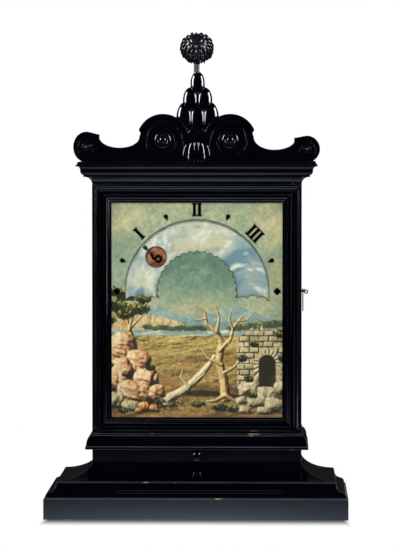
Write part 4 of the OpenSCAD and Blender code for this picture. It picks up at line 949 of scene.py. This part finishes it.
# The painted shade along the frame is darkest this far to either side, and this far inside the
# sheet's two ends
FRAME_SHADE_HALF = 112.5
FRAME_SHADE_IN = 2.0
MASK_HALF = 113.0
PAINT_STEP = 0.6
VARNISH = np.array([0.93, 0.91, 0.83])
DIAL_Z = (SKY_LOW[2] + SKY_HIGH[2]) / 2 / MM
print("dial centre at z =", round(DIAL_Z, 2), "mm")


def paint_sky(c):
    """A green-blue sky in slanting strokes, with cream clouds in the corners and a dark hollow."""
    u = (c.x * 0.8 + c.z * 0.6) * 0.45
    v = (-c.x * 0.6 + c.z * 0.8) * 1.25
    low, high = np.clip((c.z - 232) / 60, 0, 1)[..., None], np.clip((c.z - 300) / 95, 0, 1)[..., None]
    c.paint[...] = srgb("#bdb48e") * (1 - low) + srgb("#88a294") * low
    c.paint[...] = c.paint * (1 - high) + srgb("#93a893") * high
    c.lay((clouds(u, v, 24, 3) - 0.5) * 5 * 0.6, "#abb999")
    c.lay((clouds(u, v, 17, 13) - 0.54) * 7 * 0.4, "#789a88")
    radius = np.hypot(c.x - DIAL_X, c.z - DIAL_Z)
    hollow = np.clip((60 - radius) / 12, 0, 1) * np.clip((c.z - 262) / 45, 0, 1)
    c.lay(hollow * 0.9, "#557a6b")
    c.lay(hollow * (clouds(u, v, 14, 23) - 0.5) * 6 * 0.6, "#7b9f8e")
    for x, z, rx, rz, colour in (
        (-88, 372, 42, 34, "#d3d0ab"), (100, 368, 40, 44, "#d6cd9f"), (-40, 392, 34, 14, "#b9c4a2"),
        (104, 300, 22, 30, "#a7a77e"), (-104, 300, 20, 24, "#93ac9c"), (20, 246, 60, 11, "#cfc9a6"),
        (-70, 262, 30, 9, "#c3c4a4"),
    ):
        torn = 1.5 * (clouds(u, v, 18, int(x) % 50) - 0.5)
        c.lay(np.clip(1.1 - np.hypot((c.x - x) / rx, (c.z - z) / rz) + torn, 0, 1) * 0.85, colour)
    c.lay((clouds(u, v, 9, 43) - 0.6) * 6 * 0.3 * (c.z > 330), "#dcdcc0")


def paint_far_land(c):
    """Blue mountains, a cliffed headland, the lake and its wooded banks."""
    for base, swell, size, seed, tones in (
        (254, 15, 52, 5, ("#6d8c96", "#86a2a4", "#a9b9ac")),
        (243, 10, 36, 6, ("#4f6f76", "#6f8f90", "#98aa9a")),
    ):
        line = base + swell * (clouds(c.x, 0 * c.x + seed, size, seed) - 0.5) * 2
        height = 6 * np.abs(clouds(c.x + 0.5 * c.z, c.z * 0.6, 20, seed + 40, 4) - 0.5) * 2
        c.model((line - c.z) / 0.9, height, tones)
    cliff = 252 - 0.16 * (c.x + 60) - 0.0035 * (c.x + 60) ** 2 + 5 * (clouds(c.x, 0 * c.x, 9, 60) - 0.5)
    wall = np.clip((cliff - c.z) / 0.9, 0, 1) * (c.x < 12) * (c.z > 221)
    ledges = 3.4 * np.abs(clouds(c.x, c.z * 0.45, 9, 64) - 0.5) * 2
    c.model(wall, ledges, ("#7d7054", "#b09c72", "#d0bf94", "#e2d5ae"))
    lake = np.clip((231 + 2 * clouds(c.x, c.z, 24, 77) - c.z) / 0.9, 0, 1)
    c.lay(lake, srgb("#8aa5a6") * (0.82 + 0.36 * clouds(c.x * 0.2, c.z * 2.4, 7, 70)[..., None]))
    c.lay(lake * np.clip((clouds(c.x * 0.3, c.z * 3, 8, 72) - 0.55) * 9, 0, 1), "#d5d8c4")
    for _ in range(30):
        x = -66 + 80 * RNG.rand()
        z = 232 - 0.02 * x + 3 * RNG.rand()
        foliage(c, x, z, 4 + 3 * RNG.rand(), 2.6, 22, FAR_LEAVES, 1.0)
    for _ in range(26):
        x = 30 + 84 * RNG.rand()
        z = 232 + 0.1 * (x - 40) + 3 * RNG.rand()
        foliage(c, x, z, 5 + 4 * RNG.rand(), 3.6, 30, FAR_LEAVES, 1.1)


def paint_ground(c):
    """Rolling ochre ground with reddish earth in front."""
    edge = 226 + 3 * (clouds(c.x, 0 * c.x, 30, 83) - 0.5) - 0.03 * np.abs(c.x)
    depth = np.clip((226 - c.z) / 96, 0, 1)[..., None]
    swell = 15 * clouds(c.x * 0.5, c.z * 1.5, 26, 84) + 2.2 * clouds(c.x, c.z * 1.8, 5, 85)
    c.model((edge - c.z) / 1.0, swell, ("#4a4020", "#857540", "#b3a05c", "#d6c384"))
    c.lay(np.clip(edge - c.z, 0, 1) * depth[..., 0] * 0.6, "#8a6238")
    # Patches of earth: how much they are drawn out, their size and seed, the noise they start from and
    # its contrast, how high up they reach, their strength and their colour
    for wide, tall, size, seed, start, contrast, top, strength, colour in (
        (0.5, 1.6, 18, 86, 0.52, 8, 200, 0.5, "#ad7443"),
        (0.6, 1.8, 13, 88, 0.56, 9, 214, 0.45, "#54431d"),
        (0.5, 2.2, 9, 89, 0.6, 9, 222, 0.6, "#c9a862"),
    ):
        patch = np.clip((clouds(c.x * wide, c.z * tall, size, seed) - start) * contrast, 0, 1)
        c.lay(patch * (c.z < top) * strength, colour)
    for _ in range(700):
        x, z = -112 + 224 * RNG.rand(), 129 + 92 * RNG.rand()
        near = (222 - z) / 94
        c.dab(
            x, z, 0.5 + 0.3 * near, 0.8 + 2.2 * near * RNG.rand(), 0.7 * (RNG.rand() - 0.5),
            mix("#3a3016", "#cdb96e", RNG.rand()), 0.55,
        )


def ruin_mask(c):
    """The outline of a broken wall, its arch's opening and the distance from the arch's middle."""
    top = 236 - 0.75 * np.maximum(78 - c.x, 0) + 9 * np.floor(3 * clouds(c.x, 0 * c.x, 12, 120)) - 12
    body = np.clip((top - c.z) / 0.8, 0, 1) * np.clip((c.x - 50) / 0.8, 0, 1) * (c.z > 156)
    arch = np.hypot(c.x - 88, np.maximum(c.z - 190, 0))
    hole = np.clip((11 - arch) / 0.8, 0, 1)
    return body, hole, arch


def paint_ruin(c):
    """The broken wall on the right, with fallen blocks before it."""
    body, hole, arch = ruin_mask(c)
    masonry(c, body, 7.0, 12.0, LIMESTONE, 130)
    ring = np.clip(1 - np.abs(arch - 14) / 3.2, 0, 1) * body
    stones = np.arctan2(c.z - 190, c.x - 88) * 18 / 6
    swell = 1.4 * np.abs(np.sin(stones * math.pi)) + clouds(c.x, c.z, 4, 133)
    c.model((ring > 0) * body, swell, LIMESTONE)
    c.lay(hole * body, "#2c2818")
    c.lay(hole * body * (clouds(c.x, c.z, 12, 135) > 0.55) * np.clip((c.x - 88) / 10, 0, 1), "#3d3d24")
    cast_shadow(c, 82, 156, 44, 7)
    for k, (x, z, rx, rz, turn) in enumerate((
        (64, 158, 13, 8, 0.2), (88, 152, 15, 9, -0.12), (107, 160, 10, 9, 0.3), (74, 142, 12, 7, 0.1),
        (99, 138, 15, 9, -0.2), (55, 144, 7, 4.5, 0.3), (84, 131, 10, 5, 0.0), (60, 132, 8, 5, -0.2),
    )):
        cast_shadow(c, x + 3, z - rz * 0.8, rx * 1.1, rz * 0.45)
        rock(c, x, z, rx, rz, LIMESTONE, 140 + k, turn, 4.5)
    for x, z in ((58, 196), (104, 226), (72, 214), (108, 196), (66, 170), (112, 146), (70, 150)):
        foliage(c, x, z, 6, 4.5, 60, LEAVES, 1.2)


def paint_left_bank(c):
    """A warm sandstone crag, a spreading tree and pumpkins at its foot."""
    limb(c, [(-86, 196), (-82, 222), (-90, 246), (-86, 262)], 4.6, 2.2, BLEACHED, 150)
    for tip in ((-108, 256), (-66, 252), (-98, 274), (-72, 268)):
        limb(c, [(-85, 232), ((-85 + tip[0]) / 2, tip[1] - 9), tip], 2.2, 0.8, BLEACHED, 151)
    for x, z, rx, rz, n in (
        (-100, 262, 14, 8, 260), (-72, 258, 13, 7, 230), (-86, 276, 15, 8, 280), (-106, 280, 9, 6, 130),
        (-66, 270, 9, 5, 110), (-90, 250, 10, 5, 110), (-108, 244, 8, 6, 100),
    ):
        foliage(c, x, z, rx, rz, n, LEAVES, 1.5)
    cast_shadow(c, -62, 140, 44, 10)
    for k, (x, z, rx, rz, turn) in enumerate((
        (-96, 206, 22, 20, 0.3), (-74, 190, 17, 16, -0.4), (-98, 172, 22, 22, 0.1),
        (-62, 170, 16, 15, 0.5), (-80, 154, 22, 15, -0.15), (-50, 154, 12, 9, 0.3),
    )):
        cast_shadow(c, x + rx * 0.55, z - rz * 0.75, rx * 0.8, rz * 0.4)
        rock(c, x, z, rx, rz, SANDSTONE, 160 + k, turn, 2.8, 0.9)
    for k, (x, z, rx, rz) in enumerate(((-104, 144, 15, 10), (-84, 137, 12, 7), (-36, 142, 9, 6))):
        cast_shadow(c, x + 3, z - rz * 0.8, rx, rz * 0.4)
        rock(c, x, z, rx, rz, LIMESTONE, 170 + k)
    for x, z, r in ((-66, 136, 8.0), (-54, 134, 6.0), (-73, 131, 5.0)):
        cast_shadow(c, x + 2, z - r * 0.7, r * 1.2, r * 0.35)
        p = c.part(x, z, r * 1.3)
        u, v = (p.x - x) / r, (p.z - z) / (r * 0.78)
        swell = np.sqrt(np.clip(1 - u * u - v * v, 0, 1))
        across = np.clip(u / np.sqrt(np.clip(1 - v * v, 0.05, 1)), -1, 1)
        ribs = 0.9 * np.abs(np.cos(np.arcsin(across) * 5))
        p.model(np.clip((1 - np.hypot(u, v)) * 8, 0, 1), r * 0.8 * swell + ribs, PUMPKIN)
        c.dab(x, z + r * 0.75, 0.9, 2.0, 0.3, "#5c6330")
    for x, z in ((-110, 188), (-58, 184), (-88, 176), (-108, 158), (-46, 142), (-92, 130)):
        foliage(c, x, z, 6, 3.6, 46, LEAVES, 1.2)


def paint_middle(c):
    """A bleached dead tree with bent branches, and its fallen neighbour."""
    cast_shadow(c, 8, 152, 34, 5)
    limb(c, [(-34, 146), (-14, 158), (6, 176), (22, 198)], 6.0, 3.4, LIMESTONE, 180)
    limb(c, [(-10, 160), (-20, 172), (-18, 182)], 2.2, 0.7, LIMESTONE, 181)
    cast_shadow(c, 42, 148, 20, 4)
    limb(c, [(36, 146), (34, 170), (27, 192), (31, 214), (24, 232)], 6.5, 3.2, BLEACHED, 182)
    for points, w0, w1 in (
        ([(29, 206), (42, 220), (46, 236), (58, 250)], 3.2, 1.3),
        ([(45, 232), (40, 246), (44, 258)], 1.8, 0.8),
        ([(26, 228), (12, 240), (10, 254), (-2, 262)], 2.8, 1.1),
        ([(25, 230), (28, 248), (22, 264)], 2.2, 0.9),
        ([(31, 188), (14, 196), (6, 208)], 2.6, 1.0),
        ([(34, 178), (48, 186), (54, 198), (50, 206)], 2.4, 0.9),
        ([(52, 243), (62, 244), (70, 252)], 1.4, 0.6),
        ([(11, 246), (0, 244), (-8, 250)], 1.3, 0.6),
        ([(36, 150), (24, 143), (12, 142)], 3.2, 1.0),
        ([(36, 150), (48, 142), (58, 141)], 3.0, 1.0),
    ):
        limb(c, points, w0, w1, BLEACHED, 183 + int(w0 * 10))
    for x, z, rx, rz in ((2, 138, 9, 4), (30, 134, 10, 5), (46, 132, 7, 4)):
        foliage(c, x, z, rx, rz, 80, LEAVES, 1.2)
    for _ in range(70):
        x, z = -100 + 200 * RNG.rand(), 130 + 16 * RNG.rand()
        c.dab(x, z, 0.8, 0.7, 0, mix("#c98f3a", "#efe3bd", RNG.rand()), 0.9)


def paint_valley():
    """The whole mask painting."""
    c = Canvas(-MASK_HALF, MASK_HALF, MASK_LOW[2] / MM - 1, MASK_HIGH[2] / MM + 1, PAINT_STEP)
    paint_sky(c)
    paint_far_land(c)
    paint_ground(c)
    paint_left_bank(c)
    paint_middle(c)
    paint_ruin(c)
    # Old varnish gives a warm cast, and painted shade darkens the corners
    corner_shade = np.clip(np.hypot(c.x / 150, (c.z - 258) / 190), 0, 1)[..., None] ** 3
    c.paint[...] = np.clip(c.paint * (1 - 0.2 * corner_shade) * VARNISH, 0, 1)
    grain = clouds(c.x + 0.4 * c.z, c.z, 3.2, 311, 3)[..., None] - 0.5
    c.paint[...] = np.clip(c.paint * (1 + 0.3 * grain), 0, 1)
    # Painted shade along the frame, a ragged brown-black band
    low, high = MASK_LOW[2] / MM + FRAME_SHADE_IN, MASK_HIGH[2] / MM - FRAME_SHADE_IN
    to_frame = np.minimum(FRAME_SHADE_HALF - np.abs(c.x), np.minimum(c.z - low, high - c.z))
    c.lay(np.clip(1 - to_frame / (2.5 + 5 * clouds(c.x, c.z, 8, 301)), 0, 1) * 0.55, "#4a3a1c")
    return c


valley = paint_valley()
print("valley canvas", valley.x.shape)

# %% Paint the turning sky
POINTER_R = 86.0
SKY_HALF = 96.0
SKY_VARNISH = np.array([0.8, 0.83, 0.8])
WINDOW_ANGLES = (math.radians(140), math.radians(320))


def paint_turning_sky():
    """White, cream and blue clouds swirling round the dial's centre, and a pointer over each window."""
    c = Canvas(-SKY_HALF, SKY_HALF, DIAL_Z - SKY_HALF, DIAL_Z + SKY_HALF, PAINT_STEP)
    dx, dz = c.x, c.z - DIAL_Z
    radius, angle = np.hypot(dx, dz), np.arctan2(dz, dx)
    u, v = dx + 14 * np.sin(radius / 21), dz + 14 * np.cos(radius / 21)
    c.paint[...] = srgb("#cfcfc6")
    warm = np.clip(1 - np.abs(angle - math.radians(88)) / 0.75, 0, 1)
    c.lay(warm * 0.9, "#dcd6ba")
    blue = np.clip((math.radians(66) - np.abs(angle)) / 0.35, 0, 1)
    blue = blue + np.clip((math.radians(-169) - angle) / 0.12, 0, 1)
    blue = np.clip(blue + np.clip((angle - math.radians(171)) / 0.12, 0, 1), 0, 1)
    c.lay(blue * 0.75, "#8aa6ae")
    c.lay((clouds(u, v, 26, 101) - 0.47) * 6 * 0.8, "#e6e2d0")
    c.lay((clouds(u * 1.2, v * 1.2, 22, 111) - 0.5) * 7 * (0.3 + 0.6 * blue), "#7398a9")
    c.lay((clouds(u, v, 15, 121) - 0.56) * 7 * 0.6, "#d9cfa8")
    c.lay((clouds(u, v, 9, 131) - 0.57) * 8 * 0.6, "#f3f0e2")
    c.lay((clouds(u, v, 10, 151) - 0.6) * 8 * 0.4, "#8f9c9c")
    c.lay(np.clip((radius - POINTER_R) / 6, 0, 1) * 0.3, "#7f8f8a")
    c.paint[...] = c.paint * SKY_VARNISH
    # Each pointer is a near-black triangle, painted shade standing for the dark behind a piercing
    for turn in WINDOW_ANGLES:
        out = dx * math.cos(turn) + dz * math.sin(turn) - POINTER_R
        side = np.abs(-dx * math.sin(turn) + dz * math.cos(turn))
        c.lay(np.clip((3.0 - side - 0.6 * np.abs(out + 2)) / 0.5, 0, 1), "#0b0907")
    return c


turning_sky = paint_turning_sky()
print("sky canvas", turning_sky.x.shape)

# %% [markdown]
# ## A sheet fine enough to hold the paint
# The CAD sheet has the right outline and piercings but only a few large faces in front. Its front is
# taken off and laid again as a fine net of triangles that keeps every outline point, and each point of
# the net carries the painter's colour.


# %% Lay a fine front on a sheet
# No point of the net comes nearer to the outline than this share of the net's step
NET_CLEAR = 0.3


def front_loops(mesh, y, tolerance=0.02 * MM):
    """The front faces of a merged sheet, and the edges round them."""
    front = [f for f in mesh.faces if all(abs(v.co.y - y) < tolerance for v in f.verts)]
    rim = [e for e in {e for f in front for e in f.edges} if sum(f in front for f in e.link_faces) == 1]
    return front, rim


def inside(px, pz, edges):
    """Whether points lie inside the outline, by counting crossings."""
    count = np.zeros(len(px), dtype=int)
    for (xa, za), (xb, zb) in edges:
        if za == zb:
            continue
        hit = (za > pz) != (zb > pz)
        cross = xa + (pz - za) / (zb - za) * (xb - xa)
        count += hit & (px < cross)
    return count % 2 == 1


def shade_the_cut(c, xa, za, xb, zb):
    """A thin dark line along a cut through the sheet: the copper's dark edge and painted shade at the
    cut.
    """
    p = c.part((xa + xb) / 2, (za + zb) / 2, math.hypot(xb - xa, zb - za) / 2 + 1.5)
    dx, dz = xb - xa, zb - za
    t = np.clip(((p.x - xa) * dx + (p.z - za) * dz) / max(dx * dx + dz * dz, 1e-9), 0, 1)
    off = np.hypot(p.x - xa - t * dx, p.z - za - t * dz)
    p.lay(np.clip((0.9 - off) / 0.4, 0, 1) * 0.6, "#10130f")


def painted_sheet(node, name, canvas, step, material):
    """A copy of a sheet whose front is a fine painted net, with points step millimetres apart."""
    work = bmesh.new()
    work.from_mesh(nodes[node].data)
    bmesh.ops.remove_doubles(work, verts=work.verts, dist=MERGE)
    # The front is the level at which the faces that look forward cover the most
    levels = {}
    for face in work.faces:
        if face.normal.y < -0.999:
            level = round(face.calc_center_median().y, 6)
            levels[level] = levels.get(level, 0) + face.calc_area()
    y = max(levels, key=levels.get)
    front, rim = front_loops(work, y)
    verts = sorted({v for e in rim for v in e.verts}, key=lambda v: v.index)
    number = {v: i for i, v in enumerate(verts)}
    outline = [(number[e.verts[0]], number[e.verts[1]]) for e in rim]
    points = [(v.co.x / MM, v.co.z / MM) for v in verts]
    segments = [(points[a], points[b]) for a, b in outline]
    gx, gz = np.meshgrid(
        np.arange(canvas.x0, canvas.x.max(), step), np.arange(canvas.z0, canvas.z.max(), step)
    )
    gx = (gx + 0.5 * step * (np.arange(gx.shape[0]) % 2)[:, None]).ravel()
    gz = gz.ravel()
    keep = inside(gx, gz, segments)
    for (xa, za), (xb, zb) in segments:
        dx, dz = xb - xa, zb - za
        t = np.clip(((gx - xa) * dx + (gz - za) * dz) / max(dx * dx + dz * dz, 1e-9), 0, 1)
        keep &= np.hypot(gx - xa - t * dx, gz - za - t * dz) > NET_CLEAR * step
        # A dark line round each cut, partly the copper's edge and partly painted shade
        shade_the_cut(canvas, xa, za, xb, zb)
    net = points + list(zip(gx[keep], gz[keep]))
    out = geometry.delaunay_2d_cdt([Vector(p) for p in net], outline, [], 0, 1e-5)
    flat, triangles = out[0], np.array(out[2])
    centre = np.array([[v.x, v.y] for v in flat])[triangles].mean(axis=1)
    good = triangles[inside(centre[:, 0], centre[:, 1], segments)]
    bmesh.ops.delete(work, geom=front, context="FACES_ONLY")
    fresh = [work.verts.new((p.x * MM, y, p.y * MM)) for p in flat]
    for a, b, c in good:
        work.faces.new((fresh[a], fresh[b], fresh[c]))
    bmesh.ops.remove_doubles(work, verts=work.verts, dist=2 * MERGE)
    for f in work.faces:
        painted = abs(f.calc_center_median().y - y) < 1e-6
        if painted and f.normal.y > 0:
            f.normal_flip()
        f.material_index = 0 if painted else 1
    mesh = bpy.data.meshes.new(name)
    work.to_mesh(mesh)
    work.free()
    colour = mesh.color_attributes.new("paint", "FLOAT_COLOR", "POINT")
    where = np.array([v.co for v in mesh.vertices]) / MM
    rgb = np.clip(canvas.sample(where[:, 0], where[:, 2]), 0, 1)
    rgb = np.where(rgb <= 0.04045, rgb / 12.92, ((rgb + 0.055) / 1.055) ** 2.4)
    colour.data.foreach_set("color", np.c_[rgb, np.ones(len(rgb))].ravel())
    stand_in(plain_mesh(name, mesh, [material, COPPER]), node)
    print(name, len(mesh.polygons), "faces")


# %% Oil paint under old varnish
def oil_on_copper(name):
    """The stored paint, broken up by brush marks and fine craquelure, under a satin varnish."""
    material, tree, shader = new_material(name, IOR=1.5, Coat_Weight=0.2, Coat_Roughness=0.25)
    place = add(tree, "ShaderNodeTexCoord").outputs["Object"]
    paint = add(tree, "ShaderNodeAttribute", attribute_name="paint").outputs["Color"]
    # Brush hairs leave ridges about a millimetre apart
    brush = add(
        tree, "ShaderNodeTexNoise", {"Vector": place, "Scale": 900.0, "Detail": 4.0, "Distortion": 1.2}
    ).outputs[0]
    crackle = add(
        tree,
        "ShaderNodeTexVoronoi",
        {"Vector": place, "Scale": 260.0},
        feature="DISTANCE_TO_EDGE",
    ).outputs["Distance"]
    tone = add(tree, "ShaderNodeMapRange", {0: brush, 1: 0.3, 2: 0.7, 3: 0.9, 4: 1.08}).outputs[0]
    line = add(tree, "ShaderNodeMapRange", {0: crackle, 1: 0.0, 2: 0.03, 3: 0.86, 4: 1.0}).outputs[0]
    shade = add(tree, "ShaderNodeMath", {0: tone, 1: line}, operation="MULTIPLY").outputs[0]
    worked = add(
        tree, "ShaderNodeVectorMath", {0: paint, "Scale": shade}, operation="SCALE"
    ).outputs["Vector"]
    rough = add(tree, "ShaderNodeMapRange", {0: brush, 1: 0.3, 2: 0.7, 3: 0.36, 4: 0.52}).outputs[0]
    finish_surface(tree, shader, worked, brush, 0.15, 0.2 * MM, rough)
    return material


MASK_NET = 0.85
SKY_NET = 0.9
OIL = oil_on_copper("oil_paint_on_copper")
painted_sheet("dial_mask", "dial_mask_painted", valley, MASK_NET, OIL)
painted_sheet("sky_disc", "sky_disc_painted", turning_sky, SKY_NET, OIL)

# %% [markdown]
# ## Numeral discs
# Each disc is copper under a brown lacquer, with its hours pierced so that the lamp would shine through.
# By day the piercings are simply dark.


# %% Brown lacquered copper
LACQUER_STEP = 0.5
NUMERAL_NET = 0.7


def lacquered_copper():
    """Copper under a thin brown lacquer, rubbed in places; its colours are stored like the paint."""
    material, tree, shader = new_material("brown_lacquered_copper", Metallic=0.35)
    place = add(tree, "ShaderNodeTexCoord").outputs["Object"]
    patch = add(tree, "ShaderNodeTexNoise", {"Vector": place, "Scale": 130.0, "Detail": 5.0}).outputs[0]
    paint = add(tree, "ShaderNodeAttribute", attribute_name="paint").outputs["Color"]
    rough = add(tree, "ShaderNodeMapRange", {0: patch, 1: 0.3, 2: 0.7, 3: 0.3, 4: 0.46}).outputs[0]
    finish_surface(tree, shader, paint, patch, 0.1, 0.2 * MM, rough)
    return material


def paint_lacquer(node):
    """Blotches of lacquer over a disc: dark red where it is thick, golden where it is rubbed."""
    low, high = (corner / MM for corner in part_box(node))
    c = Canvas(low.x - 1, high.x + 1, low.z - 1, high.z + 1, LACQUER_STEP)
    c.paint[...] = srgb("#9a6244")
    c.lay((clouds(c.x, c.z, 9, 401) - 0.45) * 5 * 0.8, "#74402f")
    c.lay((clouds(c.x, c.z, 4, 411) - 0.52) * 7 * 0.6, "#c08a58")
    c.lay((clouds(c.x, c.z, 3, 421) - 0.6) * 8 * 0.5, "#4c261a")
    return c


LACQUER = lacquered_copper()
for node in [name for name, slot in slot_of.items() if slot == "copper_numerals"]:
    painted_sheet(node, node + "_lacquered", paint_lacquer(node), NUMERAL_NET, LACQUER)

# %% [markdown]
# ## The rest of the construction
# Every other node keeps its own shape, because it is right as it is, and only gets its real material.

# %% Dress the metalwork and the carcass
BY_SLOT = {
    "brass": BRASS,
    "steel": STEEL,
    "blued_steel": BLUED,
    "tinplate": TIN,
    "cotton_wick": COTTON,
    "pine_carcass": PINE,
    "ebonised_pear": PEAR["Z"],
}
HANDLED = ("latch_hook", "latch_eye", "hook_screw")
for name, node in nodes.items():
    if node.hide_render:
        continue
    node.data.materials.clear()
    node.data.materials.append(HOOK_BRASS if name in HANDLED else BY_SLOT[slot_of[name]])
print("nodes with a material of their own:", sum(not n.hide_render for n in nodes.values()))

# %% [markdown]
# ## The studio
# The clock stands on a pale floor in front of a white ground. Black polish shows only what it reflects,
# so the light is made of shapes. A broad panel stands far out on each side, above the height of the
# door: it draws the highlights on the rounds of the carving and misses the upright mouldings. The panels
# show only in polish, and a broad lamp in front shows only in paint and bare wood, as crossed filters
# would make them do. The room in front stays dark, and the white ground behind is dimmed for glossy
# rays, because polish at a grazing angle would otherwise turn white.

# %% The floor
FLOOR_SIZE = 8.0
# In the polish the floor shows a painted pool of light: how bright it is at the clock, over what
# distance it fades, and its cold tint
FLOOR_BY_CLOCK = 2.6
FLOOR_FADE = 0.21
FLOOR_TINT = (0.78, 0.92, 1.15, 1)
# The painted shadow before the plinth: how dark it is there, how far it reaches and how soft its edge is
SHADOW_TONE = 0.1
SHADOW_REACH = 70 * MM
SHADOW_EDGE = 9 * MM


def pale_floor():
    """White to the camera but for a painted shadow before the plinth; in the polish a painted pool of
    light that fades with distance.
    """
    material = bpy.data.materials.new("studio_floor")
    material.use_nodes = True
    tree = material.node_tree
    tree.nodes.clear()
    place = add(tree, "ShaderNodeTexCoord").outputs["Object"]
    # A painted pool of light: in the polish the floor is brightest at the clock and fades with distance
    far = add(tree, "ShaderNodeVectorMath", {0: place}, operation="LENGTH").outputs["Value"]
    fall = add(tree, "ShaderNodeMath", {0: far, 1: -1 / FLOOR_FADE}, operation="MULTIPLY").outputs[0]
    fall = add(tree, "ShaderNodeMath", {0: fall}, operation="EXPONENT").outputs[0]
    polish = add(tree, "ShaderNodeMath", {0: fall, 1: FLOOR_BY_CLOCK}, operation="MULTIPLY").outputs[0]
    axes = add(tree, "ShaderNodeSeparateXYZ", {"Vector": place}).outputs
    across = add(tree, "ShaderNodeMath", {0: axes["X"]}, operation="ABSOLUTE").outputs[0]
    edge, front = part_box("plinth")[1].x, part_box("plinth")[0].y
    # The floor is white again ahead of the painted shadow, beside it and behind the plinth's front
    shadow = 0.0
    for way, dark, white, tone in (
        (axes["Y"], front, front - SHADOW_REACH, SHADOW_TONE),
        (across, edge - SHADOW_EDGE, edge + SHADOW_EDGE / 3, 0.0),
        (axes["Y"], front, front + SHADOW_EDGE, 0.0),
    ):
        clear = add(
            tree,
            "ShaderNodeMapRange",
            {0: way, 1: dark, 2: white, 3: tone, 4: 1.0},
            interpolation_type="SMOOTHSTEP",
        ).outputs[0]
        shadow = add(tree, "ShaderNodeMath", {0: shadow, 1: clear}, operation="MAXIMUM").outputs[0]
    paths = add(tree, "ShaderNodeLightPath").outputs
    strength = add(
        tree, "ShaderNodeMix", {"Factor": paths["Is Glossy Ray"], "A": shadow, "B": polish}
    ).outputs["Result"]
    tint = add(
        tree,
        "ShaderNodeMix",
        {"Factor": paths["Is Glossy Ray"], "A": (1, 1, 1, 1), "B": FLOOR_TINT},
        data_type="RGBA",
    ).outputs["Result"]
    white = add(tree, "ShaderNodeEmission", {"Color": tint, "Strength": strength}).outputs[0]
    add(tree, "ShaderNodeOutputMaterial", {"Surface": white})
    return material


floor_mesh = bpy.data.meshes.new("studio_floor")
half = FLOOR_SIZE / 2
floor_mesh.from_pydata(
    [(-half, -half, 0), (half, -half, 0), (half, half, 0), (-half, half, 0)], [], [(0, 1, 2, 3)]
)
floor = plain_mesh("studio_floor", floor_mesh, [pale_floor()])

# %% The room
ROOM_FILL = 0.5
ROOM_IN_POLISH = 0.004
GROUND_IN_POLISH = 0.015
# How far a reflected ray points back where it begins to meet the ground, and where it is all ground
GROUND_BEGINS, GROUND_FULL = -0.1, 0.6
world = bpy.data.worlds.new("studio")
scene.world = world
world.use_nodes = True
room = world.node_tree
room.nodes.clear()
direction = add(room, "ShaderNodeTexCoord").outputs["Generated"]
depth = add(room, "ShaderNodeSeparateXYZ", {"Vector": direction}).outputs["Y"]
paths = add(room, "ShaderNodeLightPath").outputs
mirrored = add(
    room,
    "ShaderNodeMapRange",
    {0: depth, 1: GROUND_BEGINS, 2: GROUND_FULL, 3: ROOM_IN_POLISH, 4: GROUND_IN_POLISH},
).outputs[0]
lit = add(
    room, "ShaderNodeMix", {"Factor": paths["Is Glossy Ray"], "A": ROOM_FILL, "B": mirrored}
).outputs["Result"]
for seen_by in ("Is Camera Ray", "Is Transmission Ray"):
    lit = add(room, "ShaderNodeMath", {0: lit, 1: paths[seen_by]}, operation="MAXIMUM").outputs[0]
ground = add(room, "ShaderNodeBackground", {"Color": (1, 1, 1, 1), "Strength": lit})
add(room, "ShaderNodeOutputWorld", {"Surface": ground.outputs[0]})
print("room fill", ROOM_FILL, "in polish", ROOM_IN_POLISH, "to", GROUND_IN_POLISH)


# %% The lamps
PANEL_OUT, PANEL_Y, PANEL_Z = 1.85, -0.5, 1.13
PANEL_SIZE = (0.9, 1.3)
PANEL_AIM = (0.0, 0.0, 0.6)
PANEL_WATTS = 80
TOP_AT = (0.0, -1.9, 1.9)
TOP_SIZE = (1.6, 0.8)
TOP_AIM = (0.0, 0.0, 0.3)
TOP_WATTS = 62


def soft_box(name, place, size, aim, watts):
    """A rectangular studio lamp that points at a place on the clock."""
    lamp = bpy.data.lights.new(name, "AREA")
    lamp.shape = "RECTANGLE"
    lamp.size, lamp.size_y = size
    lamp.energy = watts
    holder = bpy.data.objects.new(name, lamp)
    scene.collection.objects.link(holder)
    holder.location = place
    holder.rotation_euler = (Vector(aim) - Vector(place)).to_track_quat("-Z", "Y").to_euler()
    return holder


for side, name in ((-1, "left"), (1, "right")):
    place = (side * PANEL_OUT, PANEL_Y, PANEL_Z)
    panel = soft_box(f"{name}_panel", place, PANEL_SIZE, PANEL_AIM, PANEL_WATTS)
    panel.visible_diffuse = False
top_box = soft_box("top_box", TOP_AT, TOP_SIZE, TOP_AIM, TOP_WATTS)
top_box.visible_glossy = False

# %% [markdown]
# ## Close the notebook

# %% Finish
scene.view_settings.view_transform = "Standard"
